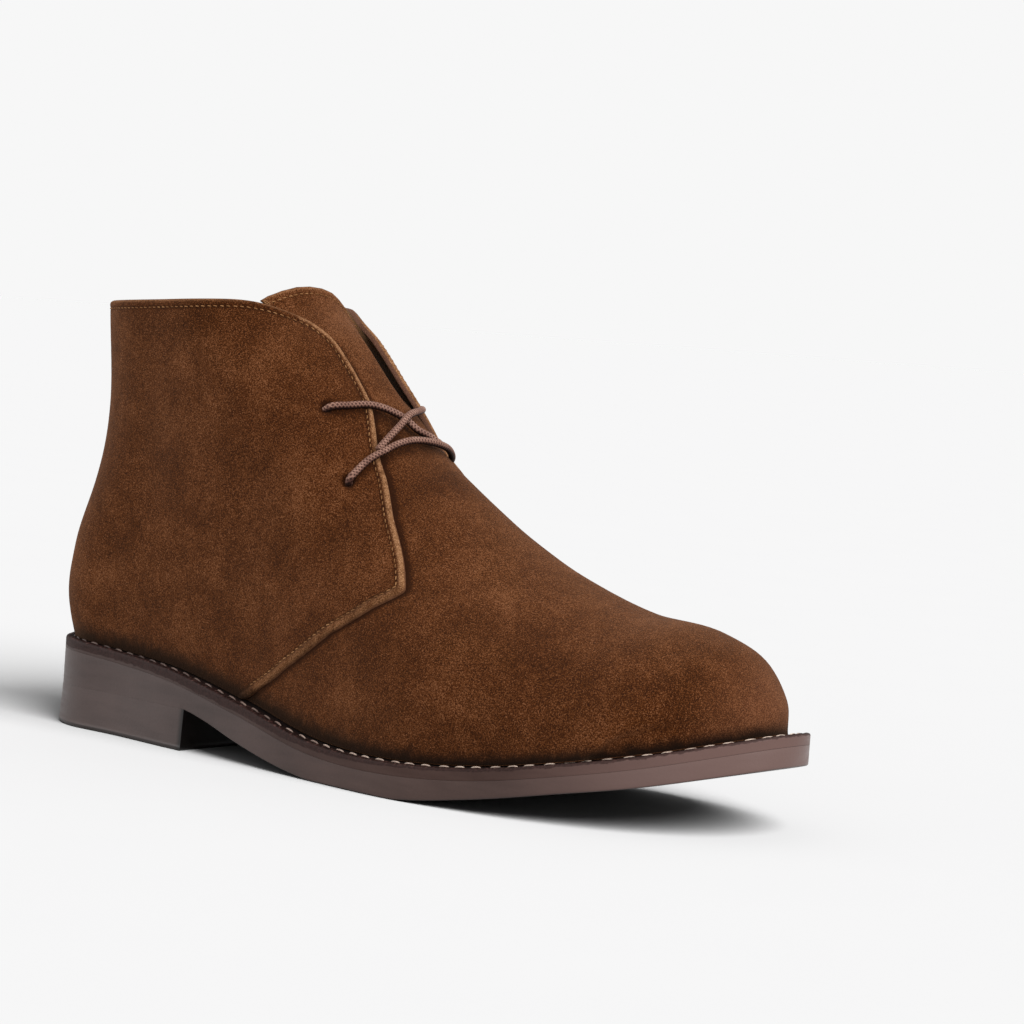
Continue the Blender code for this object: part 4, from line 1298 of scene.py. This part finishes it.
welt_rows, top_share, inside_share, band_share = [], [], [], []
profile = [      # inset from the sole's edge, height under the welt's top, on top, hidden
    (4.0, -3.99, 0, 0), (0.08, -3.99, 0, 0), (0.02, -3.95, 0, 0), (0.0, -3.8, 0, 0), (0.0, -3.3, 0, 0), (0.0, -2.8, 0, 0), (0.0, -2.3, 0, 0), (0.0, -1.8, 0, 0), (0.0, -1.3, 0, 0), (0.0, -0.9, 0, 0),
    (0.06, -0.62, 0, 0), (0.22, -0.28, 0.3, 0), (0.5, -0.10, 1, 0), (0.9, 0.0, 1, 0), (1.35, 0.03, 1, 0),
    (1.8, 0.02, 1, 0), (2.3, 0.0, 1, 0), (2.8, -0.10, 1, 0), (3.3, -0.22, 1, 0.1), (3.8, -0.12, 1, 0.6),
    (4.4, -0.05, 1, 1), (5.2, -0.05, 1, 1), (6.0, -0.05, 1, 1), (6.8, -0.05, 1, 1), (7.6, -0.05, 1, 1), (9.5, -0.05, 1, 1),
]
for inset, under_, top, hidden in profile:
    x, y = plan_loop(0.0, inset, FINE_STEPS)
    z = sole_top(x) + under_
    if 0 < top and inset < 3.0:
        z = z + 0.22 * ripple(x, y, 2.3, 4.1, 7.7) * smooth(0.1, 0.9, inset) * (1 - smooth(2.3, 3.0, inset))
    welt_rows.append(np.stack([x, y, z], 1))
    top_share.append(np.full(len(x), top, float))
    # painted shade: the welt's top is near black where it runs in under the upper
    inside_share.append(smooth(margin(x) - 2.6, margin(x) - 0.7, np.full(len(x), inset)) * (inset > 2.0) * (hidden >= 0))
    deep_to = np.interp(x, (0, 40, 90, 140, 190, LENGTH), (3.6, 3.0, 3.4, 2.6, 1.3, 1.0))
    band_share.append(1 - smooth(deep_to - 0.7, deep_to + 0.5, np.full(len(x), -under_)))
ob = swept("welt_strip", welt_rows, [MAT_WELT], None, {"top": np.concatenate(top_share), "inside": np.concatenate(inside_share),
            "band": np.concatenate(band_share), "front": paler(np.concatenate(welt_rows)),
            "seat": seat_share(np.concatenate(welt_rows))},
           closed_ring=True)
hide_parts("welt")

# stitches along the welt, all round
ring = loop_at(WELT_INSET, lambda x, y: sole_top(x) - 0.12, steps=400)
ring = np.concatenate([ring, ring[:1]])
s = arc(ring)
count = int(round(s[-1] / WELT_PITCH))
pitch = s[-1] / count
starts, ends, normals, front = [], [], [], []
for k in range(count):
    m = pitch * (k + 0.5)
    wobble = 0.35 * math.sin(k * 1.9) + 0.2 * math.sin(k * 4.3 + 1.0)
    a = at_arc(ring, s, [(m - WELT_STITCH / 2 + wobble) % s[-1]])[0]
    b = at_arc(ring, s, [(m + WELT_STITCH / 2 + wobble) % s[-1]])[0]
    n = np.array([0.0, 0.0, 1.0])
    across = unit(np.cross(n, b - a))
    slant = 0.30 + 0.12 * math.sin(k * 2.7)
    sunk = np.array([0.0, 0.0, 0.14 * (1 - float(smooth(90, 200, a[0]))) * (0.5 + 0.5 * math.sin(k * 3.1))])
    starts.append(a + across * slant - sunk)
    ends.append(b - across * slant - sunk)
    normals.append(n)
    front.append(float(smooth(60, 190, a[0])))
pts, faces = stitch_mesh(starts, ends, normals, 0.40, 0.26, 0.16, rings=9, sides=8)
ob = mesh_piece("welt_stitches", pts, faces, [MAT_WELT_THREAD], None, {"front": np.repeat(front, len(pts) // len(front))})

# outsole
sole_rows, under_share = [], []
profile = [      # inset, share of the edge's height from the bottom up, plus millimetres, share of the painted shade on the underside
    (2.6, 0.0, 0.0, 1), (1.0, 0.0, 0.0, 1), (0.55, 0.0, 0.03, 0.8), (0.22, 0.0, 0.22, 0.3), (0.06, 0.0, 0.5, 0), (0.0, 0.0, 0.9, 0),
    (0.0, 0.35, 0.0, 0), (0.0, 0.7, 0.0, 0), (0.0, 1.0, -0.20, 0), (0.02, 1.0, -0.04, 0), (0.08, 1.0, 0.0, 0), (4.0, 1.0, 0.0, 0),
]
for inset, share, more, under_ in profile:
    x, y = plan_loop(0.0, inset, FINE_STEPS)
    x0, y0 = plan_loop(0.0, min(inset, 0.02), FINE_STEPS)
    if share == 0.0 and inset < 1.0:    # no rounding over the heel
        w = smooth(HEEL_LENGTH - 1.5, HEEL_LENGTH + 5.0, x0)
        x, y, more = x0 * (1 - w) + x * w, y0 * (1 - w) + y * w, more * (0.04 + 0.96 * w)
    low, high = sole_bottom(x), sole_top(x) - WELT_T - 0.02
    sole_rows.append(np.stack([x, y, low + (high - low) * share + more], 1))
    under_share.append(np.full(len(x), under_, float))
ob = swept("outsole_slab", sole_rows, [MAT_SOLE], None, {"under": np.concatenate(under_share), "front": paler(np.concatenate(sole_rows)), "seat": seat_share(np.concatenate(sole_rows))})
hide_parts("outsole")

# heel
heel_rows, lift_share = [], []
profile = [      # flare's share, inset, share of the height, plus millimetres, top lift
    (1.0, 1.2, 0.0, 0.0, 1), (1.0, 0.45, 0.0, 0.02, 1), (1.0, 0.12, 0.0, 0.25, 1), (1.0, 0.0, 0.0, 0.6, 1),
    (1.0, 0.0, 0.0, 1.25, 0.8), (0.95, 0.03, 0.0, 1.4, 0), (0.8, 0.0, 0.0, 2.4, 0), (0.5, 0.0, 0.5, 0.0, 0),
    (0.06, 0.0, 1.0, -0.6, 0), (0.0, 0.0, 1.0, 0.0, 0), (0.0, 0.10, 1.0, 0.01, 0),
]
for flare, inset, share, more, lift_ in profile:
    x, y = plan_loop(0.0, inset - HEEL_FLARE * flare, 150, HEEL_LENGTH - inset)
    high = sole_bottom(x) - 0.012
    z = high * share + more
    heel_rows.append(np.stack([x, y, z], 1))
    lift_share.append(np.full(len(x), lift_, float))
count = len(heel_rows[0])
faces = []
for a in range(len(heel_rows) - 1):
    for i in range(count):
        j = (i + 1) % count
        faces.append((a * count + i, a * count + j, (a + 1) * count + j, (a + 1) * count + i))
top = (len(heel_rows) - 1) * count
for i in range((count - 1) // 2):
    quad = list(dict.fromkeys([i, i + 1, (count - i - 1) % count, (count - i) % count]))
    if len(quad) > 2:
        faces.append(tuple(reversed(quad)))
        faces.append(tuple(top + k for k in quad))
# painted shade: the breast is darkened almost to black, for the shadow under the arch, apart from a narrow strip along
# its outer corners
flat = np.concatenate(heel_rows)
breast = smooth(HEEL_LENGTH - 3.0, HEEL_LENGTH - 0.2, flat[:, 0])
ob = mesh_piece("heel_block", np.concatenate(heel_rows), faces, [MAT_HEEL], None, {"lift": np.concatenate(lift_share), "breast": breast, "front": paler(np.concatenate(heel_rows)), "seat": seat_share(np.concatenate(heel_rows))}, sharp=0.7)
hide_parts("heel")

# insole with a soft rim
sock_rows = []
for inset, rise in ((0.0, 0.4), (0.0, 2.2), (0.5, 2.9), (1.5, 3.2), (4.0, 3.2), (9.0, 3.05)):
    x, y = plan_loop(1.0, WALL + 2 * GAP + 0.2 + inset, FINE_STEPS)
    sock_rows.append(np.stack([x, y, sole_top(x) + rise], 1))
ob = swept("insole_sock", sock_rows, [MAT_INSOLE])
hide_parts("insole")

# ---- stage, light and camera -----------------------------------------------
AROUND = 0.93           # even light of the studio
# lamps: direction turned from +X towards +Y, height over the floor, strength, spread, what they light
LAMPS = {
    "floor": (-18, 43, 19.0, 42, "floor"),
    "top": (-50, 74, 0.9, 80, "boot"),
    "front": (-66, 20, 0.9, 50, "boot"),
    "toe": (2, 22, 2.2, 30, "boot"),
    "back": (-140, 22, 0.7, 35, "boot"),
}
level_light = sum(p * math.sin(math.radians(e)) for a, e, p, w, on in LAMPS.values() if on == "floor")
half = 30.0
mesh = bpy.data.meshes.new("floor")
mesh.from_pydata([(-half, -half, -0.0001), (half, -half, -0.0001), (half, half, -0.0001), (-half, half, -0.0001)], [], [(0, 1, 2, 3)])
mesh.materials.append(floor_material(AROUND / (AROUND + level_light / math.pi)))
floor = bpy.data.objects.new("floor", mesh)
bpy.context.scene.collection.objects.link(floor)

world = bpy.data.worlds.new("studio")
world.use_nodes = True
world.node_tree.nodes["Background"].inputs["Color"].default_value = (1.0, 1.0, 1.0, 1.0)
world.node_tree.nodes["Background"].inputs["Strength"].default_value = AROUND
bpy.context.scene.world = world

boot_only = bpy.data.collections.new("boot_only")
for ob in bpy.context.scene.collection.all_objects:
    if ob.type in {"MESH", "CURVE"} and ob is not floor:
        boot_only.objects.link(ob)
floor_only = bpy.data.collections.new("floor_only")
floor_only.objects.link(floor)
for name, (azimuth, elevation, power, spread, lit) in LAMPS.items():
    data = bpy.data.lights.new(name, "SUN")
    data.energy = power
    data.angle = math.radians(spread)
    lamp = bpy.data.objects.new(name, data)
    a, e = math.radians(azimuth), math.radians(elevation)
    lamp.rotation_euler = Vector((math.cos(a) * math.cos(e), math.sin(a) * math.cos(e), math.sin(e))).to_track_quat("Z", "Y").to_euler()
    bpy.context.scene.collection.objects.link(lamp)
    # flagged with cards, so that one lamp makes the floor's shadow and the others only light the boot
    lamp.light_linking.receiver_collection = floor_only if lit == "floor" else boot_only

cam = bpy.data.cameras.new("camera")
cam.sensor_width = 36.0
cam.lens = 3137.374 / 1024 * 36.0
cam.clip_end = 100.0
camera = bpy.data.objects.new("camera", cam)
psi, yaw, pitch, roll = (math.radians(a) for a in (38.462, 1.898, 3.448, 4.157))
right = np.array([math.cos(psi), math.sin(psi), 0.0])
ahead = np.array([-math.sin(psi), math.cos(psi), 0.0])
upward = np.array([0.0, 0.0, 1.0])
place_c = np.array([150.0, -5.0, 0.0]) - ahead * 1069.764 + upward * 156.26
f2 = ahead * math.cos(yaw) + right * math.sin(yaw)
r2 = right * math.cos(yaw) - ahead * math.sin(yaw)
f3 = f2 * math.cos(pitch) - upward * math.sin(pitch)
u3 = upward * math.cos(pitch) + f2 * math.sin(pitch)
r4 = r2 * math.cos(roll) + u3 * math.sin(roll)
u4 = u3 * math.cos(roll) - r2 * math.sin(roll)
c = place([place_c])[0]
camera.matrix_world = Matrix(((r4[0], u4[0], -f3[0], c[0]), (r4[1], u4[1], -f3[1], c[1]),
                              (r4[2], u4[2], -f3[2], c[2]), (0, 0, 0, 1)))
bpy.context.scene.collection.objects.link(camera)
bpy.context.scene.camera = camera
bpy.context.scene.view_settings.view_transform = "Standard"
